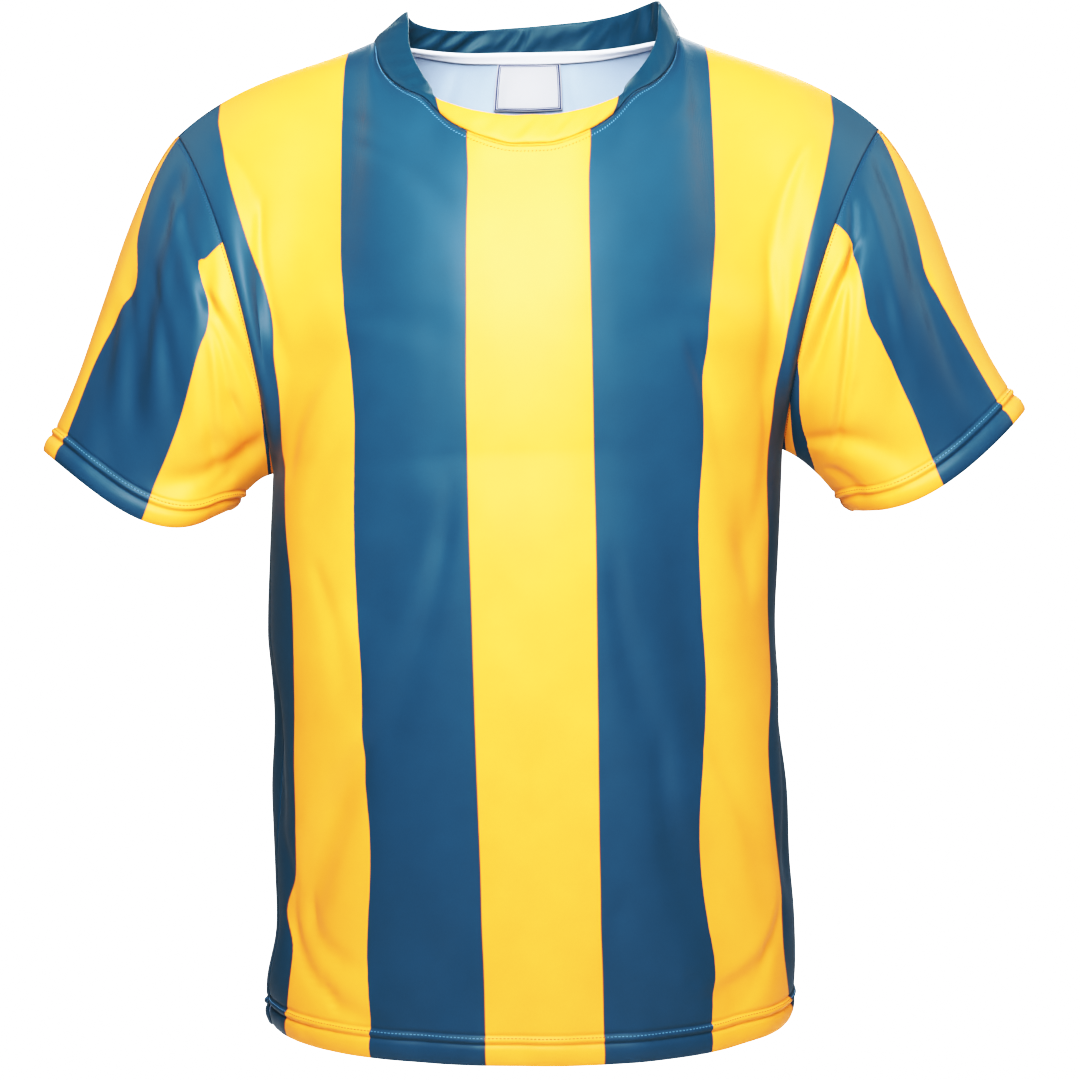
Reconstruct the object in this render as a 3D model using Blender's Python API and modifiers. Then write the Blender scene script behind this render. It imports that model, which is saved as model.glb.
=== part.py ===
"""A short-sleeved football shirt in smooth polyester knit, in the form it has when worn, with no wearer.

Metres, +Z up. The front faces -Y and the wearer's left sleeve is at +X. The origin is at the level of the
shoulder seams' neck ends, where the wearer's shoulders carry the shirt.
Every piece is a wall of cloth: a grid of points worked out from the sizes below, which is the wall's inner
face, thickened outwards.
"""

import math

import bpy
import numpy as np

# Cloth
WALL = 0.0015                # one layer of knit, drawn at the least wall that holds its form
BAND_WALL = 0.0024           # the neckband is two layers
TAPE_WALL = 0.0010
SEAM_GAP = 0.0003            # between neighbouring pieces
ARMHOLE_ROOM = 2.4           # extra room where two walls meet at a hollow angle, for their flat facets
NECK_ROOM = 1.3
LAID_GAP = 0.0006            # between the back and what is sewn on its inside

# Levels
ARMPIT_Z = -0.300
HEM_Z = -0.711               # lowest point of the hem, at centre front
HEM_RISE_LEFT = 0.012        # the hem is higher than that at the sides
HEM_RISE_RIGHT = 0.020
ARMPIT_TILT = 0.009          # the right armpit is higher, and the left one lower, by this
NECK_TILT = 0.020            # the neck's +X side sits a little higher, for each metre across
FOLD_TILT = 0.060            # and so does the back of the band's folded edge, further

# Body: outer face at each level. left and right are the silhouettes, front and back the depths, and turn the
# degrees by which the side seams have swung, the left one to the front
BODY_COLUMNS = ("z", "left", "right", "front", "back", "turn")
BODY = (
    (-0.300, -0.1850, 0.1790, 0.1450, 0.1140, 1.0),
    (-0.372, -0.1873, 0.1760, 0.1475, 0.1080, 9.0),
    (-0.429, -0.1880, 0.1740, 0.1475, 0.1035, 11.0),
    (-0.486, -0.1850, 0.1775, 0.1465, 0.1030, 12.0),
    (-0.543, -0.1862, 0.1835, 0.1450, 0.1075, 12.0),
    (-0.601, -0.1838, 0.1850, 0.1425, 0.1125, 12.0),
    (-0.643, -0.1835, 0.1880, 0.1395, 0.1135, 12.0),
    (-0.682, -0.1900, 0.1880, 0.1360, 0.1115, 12.0),
    (-0.716, -0.1865, 0.1835, 0.1335, 0.1095, 12.0),
)
SQUARENESS = 2.08            # exponent of the body's rounded sections, 2 for an ellipse

# Shoulders
TIP_LEFT = (-0.2553, 0.020, -0.0665)
TIP_RIGHT = (0.2500, 0.020, -0.0615)
NECK_SIDE_LEFT = -0.1128
NECK_SIDE_RIGHT = 0.1052
RIDGE_Y = 0.012
RIDGE_CROWN = 0.0088         # the shoulder seam bows up, most near the tip

# How the cloth runs up from armpit level to the top edge, as the handles that pull each grid column's curve:
# outwards from the body, and up
CHEST_RISE = 0.42            # the lower handle, as a share of the column's height
CHEST_OUT = 0.006
SHOULDER_HANDLE = (0.062, -0.004)
NECK_HANDLE_FRONT = (0.022, -0.062)
NECK_HANDLE_BACK = (0.030, -0.060)
NECK_SPREAD = 0.022          # the cloth leaves the sides of the neck sideways as well as down
ARMHOLE_FROM = 0.62          # share of the half width from which the armhole's own handles take over
ARMHOLE_POWER = 1.6

# Armholes, as the handles that pull each edge from the armpit and from the shoulder tip: sideways, forwards
# or backwards, and up
ARMPIT_HANDLE = (0.003, 0.085, 0.060)
TIP_HANDLE = (-0.0447, 0.115, -0.062)

# Neck seam and the folded edge of the band above it, in rows from centre front round to centre back.
# out, y and z place the seam; lean, back and rise go from there to the fold
NECK_COLUMNS = ("out", "y", "z", "lean", "back", "rise")
NECK_FRONT = (
    (0.0000, -0.113, -0.089, 0.000, 0.013, 0.021),
    (0.0165, -0.112, -0.088, 0.000, 0.013, 0.020),
    (0.0340, -0.108, -0.082, -0.003, 0.012, 0.018),
    (0.0500, -0.097, -0.073, -0.003, 0.012, 0.0155),
    (0.0610, -0.084, -0.063, -0.003, 0.013, 0.0125),
    (0.0730, -0.070, -0.050, 0.004, 0.017, 0.009),
    (0.0870, -0.054, -0.041, 0.011, 0.012, 0.012),
    (0.0980, -0.036, -0.030, 0.016, 0.006, 0.014),
    (0.1050, -0.019, -0.018, 0.019, 0.003, 0.016),
    (0.1080, -0.004, -0.006, 0.021, 0.003, 0.020),
    (0.1090, 0.012, 0.002, 0.021, 0.003, 0.023),
)
NECK_BACK = (
    (0.1090, 0.012, 0.002, 0.021, 0.003, 0.023),
    (0.1040, 0.026, 0.003, 0.016, -0.001, 0.024),
    (0.0920, 0.041, 0.003, 0.010, -0.003, 0.022),
    (0.0740, 0.055, 0.002, 0.007, -0.004, 0.020),
    (0.0500, 0.067, 0.001, 0.004, -0.004, 0.020),
    (0.0250, 0.072, 0.001, 0.002, -0.005, 0.020),
    (0.0000, 0.074, 0.001, 0.000, -0.005, 0.020),
)
LEAN_LEFT = 1.15             # the band leans in further on the left side than on the right
LEAN_RIGHT = 0.70

# Sleeves: the cuff's outer and inner corners, how far its front hangs below them, the share by which the lowest
# part is nearer the body, and how far the outer edge is drawn in before it flares to the cuff
CUFF_COLUMNS = ("outer_x", "outer_z", "inner_x", "inner_z", "drop", "shift", "flare")
CUFF_LEFT = (-0.3495, -0.2940, -0.2170, -0.3355, 0.024, 0.60, 0.000)
CUFF_RIGHT = (0.3535, -0.2640, 0.2300, -0.3355, 0.017, 0.35, 0.010)
CUFF_DEPTH = 0.056           # from the middle to the front or back
CUFF_Y = 0.004
CUFF_BACK_DROP = 0.012
CAP_FULLNESS = 0.020         # how far the sleeve stands out before it falls
CAP_LIFT = 0.35              # how much of that is upwards at the shoulder tip, and how much sideways
CAP_SPREAD_LEFT = 0.38
CAP_SPREAD_RIGHT = 0.36
UNDERARM_LIFT = 0.006        # the underarm's cloth leaves the body outwards before it falls
SLEEVE_START = 0.30          # lengths of the handles at the armhole and the cuff, as shares of the sleeve's
SLEEVE_END = 0.33

# Sewn inside the back neck
TAPE_TOP = 0.0008            # below the neck seam
TAPE_WIDTH = 0.009
LABEL_WIDTH = 0.044
LABEL_HEIGHT = 0.036
LABEL_X = -0.0025

# Largest folds. s is the distance round the body from centre front, towards +X, and z the height; each fold
# runs from its first point to its second, and a negative depth is a ridge
FOLD_COLUMNS = ("s0", "z0", "s1", "z1", "width", "depth")
FOLDS = (
    (-0.222, -0.080, -0.232, -0.225, 0.016, 0.009),
    (0.218, -0.090, 0.210, -0.230, 0.020, 0.006),
    (0.200, -0.120, 0.205, -0.215, 0.015, -0.004),
    (-0.225, -0.300, -0.160, -0.215, 0.016, 0.006),
    (-0.125, -0.195, -0.215, -0.225, 0.022, -0.006),
    (0.125, -0.200, 0.215, -0.220, 0.022, -0.006),
    (0.165, -0.290, 0.178, -0.380, 0.018, 0.005),
    (0.095, -0.290, 0.140, -0.520, 0.022, 0.005),
    (-0.120, -0.420, -0.075, -0.340, 0.022, 0.004),
    (-0.190, -0.640, -0.130, -0.520, 0.020, 0.007),
    (0.120, -0.560, 0.165, -0.700, 0.022, 0.006),
    (-0.235, -0.450, -0.215, -0.560, 0.018, 0.006),
    (0.225, -0.600, 0.250, -0.480, 0.018, 0.005),
    (-0.330, -0.360, -0.300, -0.560, 0.022, 0.007),
    (0.320, -0.380, 0.300, -0.600, 0.022, 0.007),
    (-0.400, -0.420, -0.385, -0.660, 0.022, 0.005),
    (0.410, -0.470, 0.390, -0.680, 0.022, 0.005),
    (0.480, -0.300, 0.470, -0.480, 0.024, -0.004),
)

FOLD_FADE_TOP = 0.12         # shares of the height and of the half width over which the folds die out
FOLD_FADE_SIDE = 0.06

# Grid counts
SHOULDER_STEPS = 8
FRONT_NECK_STEPS = 20
BACK_NECK_STEPS = 16
BODY_STEPS = 12
ARMHOLE_STEPS = 13
CROWDING = 1.25              # rows are closer towards the shoulder and neck seams
SLEEVE_STEPS = 8
BAND_STEPS = 3
LABEL_STEPS = 4
SAMPLES = 240                # fine points along a curve before it is divided evenly

SHARPEST_SEAM = 1.0          # radians, the least angle between two pieces that a seam makes room for
RIGHT_SEAM_TURN = 0.6        # the right side seam swings this much of the left one's turn

YELLOW = (1.0, 0.55, 0.05)
NAVY = (0.03, 0.10, 0.19)
WHITE = (0.85, 0.86, 0.92)


def smooth(xs, ys, x):
    """A smooth curve through the table points, read at x."""
    xs = np.asarray(xs, float)
    ys = np.asarray(ys, float)
    if xs[0] > xs[-1]:
        xs = xs[::-1]
        ys = ys[::-1]
    x = np.clip(np.asarray(x, float), xs[0], xs[-1])
    slope = np.gradient(ys, xs)
    i = np.clip(np.searchsorted(xs, x, side="right") - 1, 0, len(xs) - 2)
    span = xs[i + 1] - xs[i]
    t = (x - xs[i]) / span
    return (
        ys[i] * (1 + 2 * t) * (1 - t) ** 2
        + ys[i + 1] * t * t * (3 - 2 * t)
        + span * slope[i] * t * (1 - t) ** 2
        - span * slope[i + 1] * t * t * (1 - t)
    )


def column(table, names, name):
    """One named column of a table."""
    return [row[names.index(name)] for row in table]


def unit(v):
    """Vectors at length 1."""
    return v / np.maximum(np.linalg.norm(v, axis=-1, keepdims=True), 1e-12)


def length_along(points):
    """How far along its length each point of a polyline is."""
    return np.concatenate([[0.0], np.cumsum(np.linalg.norm(np.diff(points, axis=0), axis=1))])


def evenly(points, count, crowding=1.0):
    """The polyline of points, divided into count steps: equal ones, or crowded towards its end."""
    run = length_along(points)
    at = run[-1] * (1 - np.linspace(1, 0, count + 1) ** crowding)
    return np.stack([np.interp(at, run, points[:, k]) for k in range(points.shape[1])], axis=1)


def ease(x):
    """0 to 1 with soft ends."""
    x = np.clip(x, 0, 1)
    return x * x * (3 - 2 * x)


def body_level(z, name):
    """A body size at height z."""
    return smooth(column(BODY, BODY_COLUMNS, "z"), column(BODY, BODY_COLUMNS, name), z)


def body_point(angle, z):
    """A point of the wall's inner face, at an angle round the body from centre front."""
    middle = (body_level(z, "left") + body_level(z, "right")) / 2
    half = (body_level(z, "right") - body_level(z, "left")) / 2 - WALL
    ahead = np.cos(angle) > 0
    depth = np.where(ahead, body_level(z, "front"), body_level(z, "back")) - WALL
    power = 2 / SQUARENESS
    x = middle + half * np.sign(np.sin(angle)) * np.abs(np.sin(angle)) ** power
    y = -depth * np.sign(np.cos(angle)) * np.abs(np.cos(angle)) ** power
    return np.stack([x, y, z + 0 * angle], axis=-1)


def body_row(z, steps, behind):
    """One level of the front or back, from left side seam to right, with each point's distance s."""
    turn = math.radians(float(body_level(z, "turn")))
    left = -math.pi / 2 + turn + (2 * math.pi if behind else 0)
    right = math.pi / 2 + turn * RIGHT_SEAM_TURN
    fine = np.linspace(left, right, SAMPLES)
    run = length_along(body_point(fine, z))
    angle = np.interp(np.linspace(0, run[-1], steps + 1), run, fine)
    half_turn = np.linspace(0, math.pi, SAMPLES)
    wrapped = (angle + math.pi) % (2 * math.pi) - math.pi
    s = np.sign(wrapped) * np.interp(np.abs(wrapped), half_turn, length_along(body_point(half_turn, z)))
    return body_point(angle, z), s


def neck_rows(table, side, steps):
    """Half of the neck seam and of the fold above it, from the centre to the shoulder seam."""
    width = NECK_SIDE_RIGHT if side > 0 else -NECK_SIDE_LEFT
    scale = width / NECK_FRONT[-1][0]
    lean = LEAN_RIGHT if side > 0 else LEAN_LEFT
    share = np.linspace(0, 1, len(table))
    fine = np.linspace(0, 1, SAMPLES)
    read = {name: smooth(share, column(table, NECK_COLUMNS, name), fine) for name in NECK_COLUMNS}
    x = side * read["out"] * scale
    seam = np.stack([x, read["y"], read["z"] + NECK_TILT * x], axis=1)
    lean_in = read["lean"] * np.where(read["lean"] > 0, lean, 1.0)
    behind = ease(read["y"] / 0.05)
    rise = read["rise"] + FOLD_TILT * x * behind
    fold = seam + np.stack([-side * lean_in, read["back"], rise], axis=1)
    both = evenly(np.concatenate([seam, fold], axis=1), steps)
    return both[:, :3], both[:, 3:]


def neck_loop(behind, steps):
    """The seam and the fold from the left shoulder seam to the right one, at the front or behind."""
    if behind:
        table = tuple(reversed(NECK_BACK))
    else:
        table = NECK_FRONT
    left_seam, left_fold = neck_rows(table, -1, steps // 2)
    right_seam, right_fold = neck_rows(table, 1, steps // 2)
    seam = np.concatenate([left_seam[::-1], right_seam[1:]])
    fold = np.concatenate([left_fold[::-1], right_fold[1:]])
    return seam, fold


def shoulder(tip, neck):
    """The shoulder seam from its tip to the neck."""
    share = np.linspace(0, 1, SHOULDER_STEPS + 1)[:, None]
    line = np.asarray(tip)[None, :] * (1 - share) + neck[None, :] * share
    bow = share[:, 0] * (1 - share[:, 0]) ** 2
    line[:, 2] += RIDGE_CROWN * bow / (4 / 27)
    line[:, 1] += (RIDGE_Y - line[:, 1]) * np.sin(math.pi * share[:, 0])
    return line


def top_edge(behind):
    """The upper edge of the front or back: shoulder seam, neck seam, shoulder seam."""
    steps = BACK_NECK_STEPS if behind else FRONT_NECK_STEPS
    neck, _ = neck_loop(behind, steps)
    left = shoulder(TIP_LEFT, neck[0])
    right = shoulder(TIP_RIGHT, neck[-1])[::-1]
    return np.concatenate([left[:-1], neck, right[1:]])


def upper_columns(behind, base, top):
    """Curves that carry the cloth from armpit level up to the top edge, one for each grid column."""
    count = len(base)
    across = np.linspace(-1, 1, count)
    side = np.sign(across)
    share = np.abs(across)
    facing = 1.0 if behind else -1.0
    shoulder_from = 1 - SHOULDER_STEPS / ((count - 1) / 2)
    edge = (ease((share - ARMHOLE_FROM) / (1 - ARMHOLE_FROM)) ** ARMHOLE_POWER)[:, None]
    at_neck = (1 - ease(share / shoulder_from))[:, None]
    rise = top[:, 2] - base[:, 2]
    none = np.zeros(count)
    low = base + np.stack([none, facing * CHEST_OUT * (1 - edge[:, 0]), CHEST_RISE * rise], axis=1)
    flat = np.array([0, facing * SHOULDER_HANDLE[0], SHOULDER_HANDLE[1]])
    neck_handle = NECK_HANDLE_BACK if behind else NECK_HANDLE_FRONT
    steep = np.array([0, facing * neck_handle[0], neck_handle[1]])
    high = top + flat * (1 - at_neck) + steep * at_neck
    high[:, 0] += side * NECK_SPREAD * np.sin(math.pi * np.clip(share / shoulder_from, 0, 1))
    turned = np.stack([side, none + facing, none + 1], axis=1)
    low = low * (1 - edge) + (base + turned * ARMPIT_HANDLE) * edge
    high = high * (1 - edge) + (top + turned * TIP_HANDLE) * edge
    curve = bezier(base, low, high, top, SAMPLES)
    return np.stack([evenly(curve[:, k], ARMHOLE_STEPS, CROWDING) for k in range(count)], axis=1)


def bezier(start, low, high, end, count):
    """Cubic curves between rows of points, read at count places."""
    t = np.linspace(0, 1, count)[:, None, None]
    return start * (1 - t) ** 3 + 3 * low * t * (1 - t) ** 2 + 3 * high * t * t * (1 - t) + end * t ** 3


def fold_depth(s, z):
    """How far the folds draw the cloth in at a place."""
    depth = np.zeros_like(s)
    for row in FOLDS:
        fold = dict(zip(FOLD_COLUMNS, row))
        run_s = fold["s1"] - fold["s0"]
        run_z = fold["z1"] - fold["z0"]
        length = math.hypot(run_s, run_z)
        along = ((s - fold["s0"]) * run_s + (z - fold["z0"]) * run_z) / length ** 2
        across = ((s - fold["s0"]) * run_z - (z - fold["z0"]) * run_s) / length
        ends = ease(2 * along + 0.5) * ease(2.5 - 2 * along)
        depth += fold["depth"] * np.exp(-((across / fold["width"]) ** 2)) * ends
    return depth


def normals(grid, closed=False):
    """Outward normals of a grid whose rows go up and whose columns go left to right at the front."""
    if closed:
        across = np.roll(grid, -1, axis=1) - np.roll(grid, 1, axis=1)
    else:
        across = np.gradient(grid, axis=1)
    up = np.gradient(grid, axis=0)
    return unit(np.cross(across, up))


def panel(behind):
    """The front or back as a grid: rows from hem to top edge, columns from left to right."""
    steps = 2 * SHOULDER_STEPS + (BACK_NECK_STEPS if behind else FRONT_NECK_STEPS)
    share = np.linspace(-1, 1, steps + 1)
    rows = []
    distance = []
    for level in np.linspace(HEM_Z, ARMPIT_Z, BODY_STEPS + 1):
        row, s = body_row(level, steps, behind)
        fall = (level - ARMPIT_Z) / (HEM_Z - ARMPIT_Z)
        rise = np.where(share < 0, HEM_RISE_LEFT * np.abs(share) ** 3, HEM_RISE_RIGHT * share ** 2)
        row[:, 2] += rise * fall + ARMPIT_TILT * share * (1 - fall) ** 2
        rows.append(row)
        distance.append(s)
    upper = upper_columns(behind, rows[-1], top_edge(behind))
    grid = np.concatenate([np.stack(rows), upper[1:]])
    s = np.concatenate([np.stack(distance), np.repeat(distance[-1][None], ARMHOLE_STEPS, axis=0)])
    out = normals(grid) * (-1 if behind else 1)
    from_top = np.linspace(1, 0, ARMHOLE_STEPS + 1)
    fade = np.ones(grid.shape[:2])
    fade[BODY_STEPS:] = ease(from_top / FOLD_FADE_TOP)[:, None] * ease((1 - np.abs(share)) / FOLD_FADE_SIDE)
    out[: BODY_STEPS + 1, :, 2] = 0
    out[: BODY_STEPS + 1] = unit(out[: BODY_STEPS + 1])
    for edge in (0, -1):
        out[: BODY_STEPS + 1, edge] = (math.copysign(1, grid[0, edge, 0]), 0, 0)
    return grid - out * (fold_depth(s, grid[..., 2]) * fade)[..., None]


def sleeve(front, back, side):
    """A sleeve as a closed ring of columns, from the armhole to the cuff. The ring starts at the armpit."""
    edge = 0 if side < 0 else -1
    up_front = front[BODY_STEPS:, edge]
    down_back = back[BODY_STEPS:, edge][::-1]
    armhole = np.concatenate([up_front, down_back[1:-1]])
    cuff = dict(zip(CUFF_COLUMNS, CUFF_LEFT if side < 0 else CUFF_RIGHT))
    spread = CAP_SPREAD_LEFT if side < 0 else CAP_SPREAD_RIGHT
    outer = np.array([cuff["outer_x"] - side * WALL, CUFF_Y, cuff["outer_z"]])
    inner = np.array([cuff["inner_x"] + side * WALL, CUFF_Y, cuff["inner_z"]])
    half = len(up_front) - 1
    around = np.linspace(0, 2 * math.pi, 2 * half + 1)[:-1]
    middle = (outer + inner) / 2
    forward = np.sin(around)
    drop = np.where(forward > 0, cuff["drop"], CUFF_BACK_DROP) * forward ** 2
    drop *= 1 + cuff["shift"] * np.cos(around)
    hem = middle - np.cos(around)[:, None] * (outer - inner) / 2
    hem[:, 1] -= forward * (CUFF_DEPTH - WALL)
    hem[:, 2] -= drop
    axis = unit(middle - np.mean(armhole, axis=0))
    length = np.linalg.norm(hem - armhole, axis=1)[:, None]
    above = np.clip(-np.cos(around), 0, 1)
    outwards = np.stack([side * above * spread, -forward, above * CAP_LIFT], axis=1)
    under = ((1 + np.cos(around)) / 2)[:, None] ** 3
    lift = np.array([side * UNDERARM_LIFT, 0, UNDERARM_LIFT])
    start_handle = axis * length * (1 - under) + (hem - armhole) * under
    start = armhole + start_handle * SLEEVE_START + outwards * CAP_FULLNESS + lift * under
    end = hem - start_handle * SLEEVE_END
    end[:, 0] -= side * cuff["flare"] * above
    return bezier(armhole, start, end, hem, SLEEVE_STEPS + 1)


def pull_back(line, inside, other, out, room, closed=False):
    """How far, and which way, an edge moves into its own piece so that two walls stay apart at a seam.

    inside and other are the next points of the two pieces, out the piece's outward normals, and room the wall's
    thickness with its allowance.
    """
    along = tangent(line, closed)
    into = inside - line
    into = unit(into - along * np.sum(into * along, axis=-1, keepdims=True))
    away = other - line
    away = unit(away - along * np.sum(away * along, axis=-1, keepdims=True))
    angle = np.arccos(np.clip(np.sum(into * away, axis=-1), -1, 1))
    hollow = np.sum(out * away, axis=-1) > 0
    back = np.where(hollow, room / np.tan(np.clip(angle, SHARPEST_SEAM, 3.1) / 2), 0)
    return into * (SEAM_GAP / 2 + back)[..., None]


def tangent(points, closed=False):
    """Directions along a line of points."""
    if closed:
        return unit(np.roll(points, -1, axis=0) - np.roll(points, 1, axis=0))
    return unit(np.gradient(points, axis=0))


def trimmed(grid, other, behind):
    """The front or back with all its seam edges pulled back from the neighbours."""
    out = normals(grid) * (-1 if behind else 1)
    pull = np.zeros_like(grid)
    neck_steps = BACK_NECK_STEPS if behind else FRONT_NECK_STEPS
    below_arm = slice(0, BODY_STEPS + 1)
    above_arm = slice(BODY_STEPS, None)
    for edge, inner, key in ((0, 1, "left"), (-1, -2, "right")):
        # Side seam
        line = grid[below_arm, edge]
        pull[below_arm, edge] += pull_back(
            line, grid[below_arm, inner], other[below_arm, inner], out[below_arm, edge], WALL
        )
        # Armhole
        line = grid[above_arm, edge]
        ring = sleeve_grids[key][1]
        beside = np.concatenate([ring[:1], ring[ARMHOLE_STEPS:][::-1]]) if behind else ring[: ARMHOLE_STEPS + 1]
        pull[above_arm, edge] += pull_back(
            line, grid[above_arm, inner], beside, out[above_arm, edge], ARMHOLE_ROOM * WALL
        )
    # Shoulder seams
    for far in (slice(0, SHOULDER_STEPS + 1), slice(-SHOULDER_STEPS - 1, None)):
        pull[-1, far] += pull_back(grid[-1, far], grid[-2, far], other[-2, far], out[-1, far], WALL)
    # Neck seam
    neck = slice(SHOULDER_STEPS, SHOULDER_STEPS + neck_steps + 1)
    ring = band_grid[1]
    above = np.concatenate([ring[:1], ring[FRONT_NECK_STEPS:][::-1]]) if behind else ring[: neck_steps + 1]
    pull[-1, neck] += pull_back(grid[-1, neck], grid[-2, neck], above, out[-1, neck], NECK_ROOM * WALL)
    return grid + pull


def inside_back(x, down, out):
    """A point on the back's inner face, at a place across and a distance down from the neck seam."""
    top = back_grid[-1, :, 0]
    at = np.interp(x, top[SHOULDER_STEPS: -SHOULDER_STEPS], np.arange(len(top))[SHOULDER_STEPS: -SHOULDER_STEPS])
    low = int(min(math.floor(at), len(top) - 2))
    share = at - low
    line = back_grid[::-1, low] * (1 - share) + back_grid[::-1, low + 1] * share
    outward = back_out[::-1, low] * (1 - share) + back_out[::-1, low + 1] * share
    run = length_along(line)
    point = np.array([np.interp(down, run, line[:, k]) for k in range(3)])
    normal = unit(np.array([np.interp(down, run, outward[:, k]) for k in range(3)]))
    return point - normal * out


def cloth(name, grid, wall, colour, behind=False, closed=False):
    """Makes a piece: the grid is the inner face, and Solidify adds the wall outwards."""
    rows, columns = grid.shape[:2]
    span = columns if closed else columns - 1
    faces = []
    for i in range(rows - 1):
        for j in range(span):
            k = (j + 1) % columns
            face = (i * columns + j, i * columns + k, (i + 1) * columns + k, (i + 1) * columns + j)
            faces.append(tuple(reversed(face)) if behind else face)
    mesh = bpy.data.meshes.new(name)
    mesh.from_pydata(grid.reshape(-1, 3).tolist(), [], faces)
    mesh.shade_smooth()
    mesh.materials.append(cloth_material(name, colour))
    piece = bpy.data.objects.new(name, mesh)
    shirt.objects.link(piece)
    solid = piece.modifiers.new("Wall", "SOLIDIFY")
    solid.thickness = wall
    solid.offset = 1.0
    solid.use_rim = True
    return piece


def cloth_material(name, colour):
    """A smooth, slightly glossy knit."""
    material = bpy.data.materials.new(name)
    material.use_nodes = True
    shader = material.node_tree.nodes["Principled BSDF"]
    shader.inputs["Base Color"].default_value = (*colour, 1)
    shader.inputs["Roughness"].default_value = 0.5
    shader.inputs["Metallic"].default_value = 0.0
    return material


for old in list(bpy.data.objects):
    bpy.data.objects.remove(old, do_unlink=True)
shirt = bpy.data.collections.new("football_shirt")
bpy.context.scene.collection.children.link(shirt)

# The surfaces, with shared seam lines
front_grid = panel(behind=False)
back_grid = panel(behind=True)
back_out = -normals(back_grid)
sleeve_grids = {"left": sleeve(front_grid, back_grid, -1), "right": sleeve(front_grid, back_grid, 1)}
front_seam, front_fold = neck_loop(False, FRONT_NECK_STEPS)
back_seam, back_fold = neck_loop(True, BACK_NECK_STEPS)
seam_ring = np.concatenate([front_seam, back_seam[::-1][1:-1]])
fold_ring = np.concatenate([front_fold, back_fold[::-1][1:-1]])
band_share = np.linspace(0, 1, BAND_STEPS + 1)[:, None, None]
band_grid = seam_ring[None] * (1 - band_share) + fold_ring[None] * band_share

# Front and back
cloth("front", trimmed(front_grid, back_grid, behind=False), WALL, YELLOW)
cloth("back", trimmed(back_grid, front_grid, behind=True), WALL, NAVY, behind=True)

# Sleeves
for key, side, inner in (("left", -1, 1), ("right", 1, -2)):
    grid = sleeve_grids[key].copy()
    beside = np.concatenate([front_grid[BODY_STEPS:, inner], back_grid[BODY_STEPS:, inner][::-1][1:-1]])
    out = normals(grid, closed=True) * side
    grid[0] += pull_back(grid[0], grid[1], beside, out[0], ARMHOLE_ROOM * WALL, closed=True)
    cloth("sleeve_" + key, grid, WALL, YELLOW, behind=side > 0, closed=True)

# Neckband
below = np.concatenate(
    [
        front_grid[-2, SHOULDER_STEPS: -SHOULDER_STEPS],
        back_grid[-2, SHOULDER_STEPS: -SHOULDER_STEPS][::-1][1:-1],
    ]
)
band = band_grid.copy()
out = normals(band_grid, closed=True)
band[0] += pull_back(band_grid[0], band_grid[1], below, out[0], NECK_ROOM * BAND_WALL, closed=True)
cloth("collar", band, BAND_WALL, NAVY, closed=True)

# Tape along the inside of the back neck seam
tape_x = back_seam[:, 0].copy()
tape_x[0] = (tape_x[0] + tape_x[1]) / 2
tape_x[-1] = (tape_x[-1] + tape_x[-2]) / 2
tape = np.array(
    [
        [inside_back(x, down, LAID_GAP + TAPE_WALL) for x in tape_x]
        for down in (TAPE_TOP + TAPE_WIDTH, TAPE_TOP + TAPE_WIDTH / 2, TAPE_TOP)
    ]
)
cloth("neck_tape", tape, TAPE_WALL, WHITE, behind=True)

# Woven label, sewn below the tape
label_top = TAPE_TOP + TAPE_WIDTH + SEAM_GAP
label = np.array(
    [
        [
            inside_back(LABEL_X + x, label_top + down, LAID_GAP + TAPE_WALL)
            for x in np.linspace(-LABEL_WIDTH / 2, LABEL_WIDTH / 2, LABEL_STEPS + 1)
        ]
        for down in np.linspace(LABEL_HEIGHT, 0, LABEL_STEPS + 1)
    ]
)
cloth("label", label, TAPE_WALL, WHITE, behind=True)
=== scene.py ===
"""A short-sleeved football shirt in striped polyester knit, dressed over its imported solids.

Metres, +Z up. The front faces -Y, and the wearer's left sleeve is at +X.
"""

import math

import bpy
import numpy as np
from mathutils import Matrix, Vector, noise


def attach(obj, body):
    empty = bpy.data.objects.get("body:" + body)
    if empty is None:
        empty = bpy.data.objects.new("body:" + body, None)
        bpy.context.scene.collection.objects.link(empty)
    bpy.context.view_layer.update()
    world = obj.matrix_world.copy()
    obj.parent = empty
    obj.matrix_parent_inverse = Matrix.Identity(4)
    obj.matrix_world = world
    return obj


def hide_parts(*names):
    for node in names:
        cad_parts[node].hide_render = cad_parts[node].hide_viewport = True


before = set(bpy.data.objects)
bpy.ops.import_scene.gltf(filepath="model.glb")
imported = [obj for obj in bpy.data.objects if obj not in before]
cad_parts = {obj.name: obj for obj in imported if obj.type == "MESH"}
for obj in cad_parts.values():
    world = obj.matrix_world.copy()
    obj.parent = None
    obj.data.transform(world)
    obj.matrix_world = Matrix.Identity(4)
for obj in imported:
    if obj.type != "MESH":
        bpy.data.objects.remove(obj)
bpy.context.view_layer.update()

# Studio: a pale floor well below the shirt, a white surrounding, and large soft lights.
# The camera is level with the middle of the shirt and 2.2 m in front of it.

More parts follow.
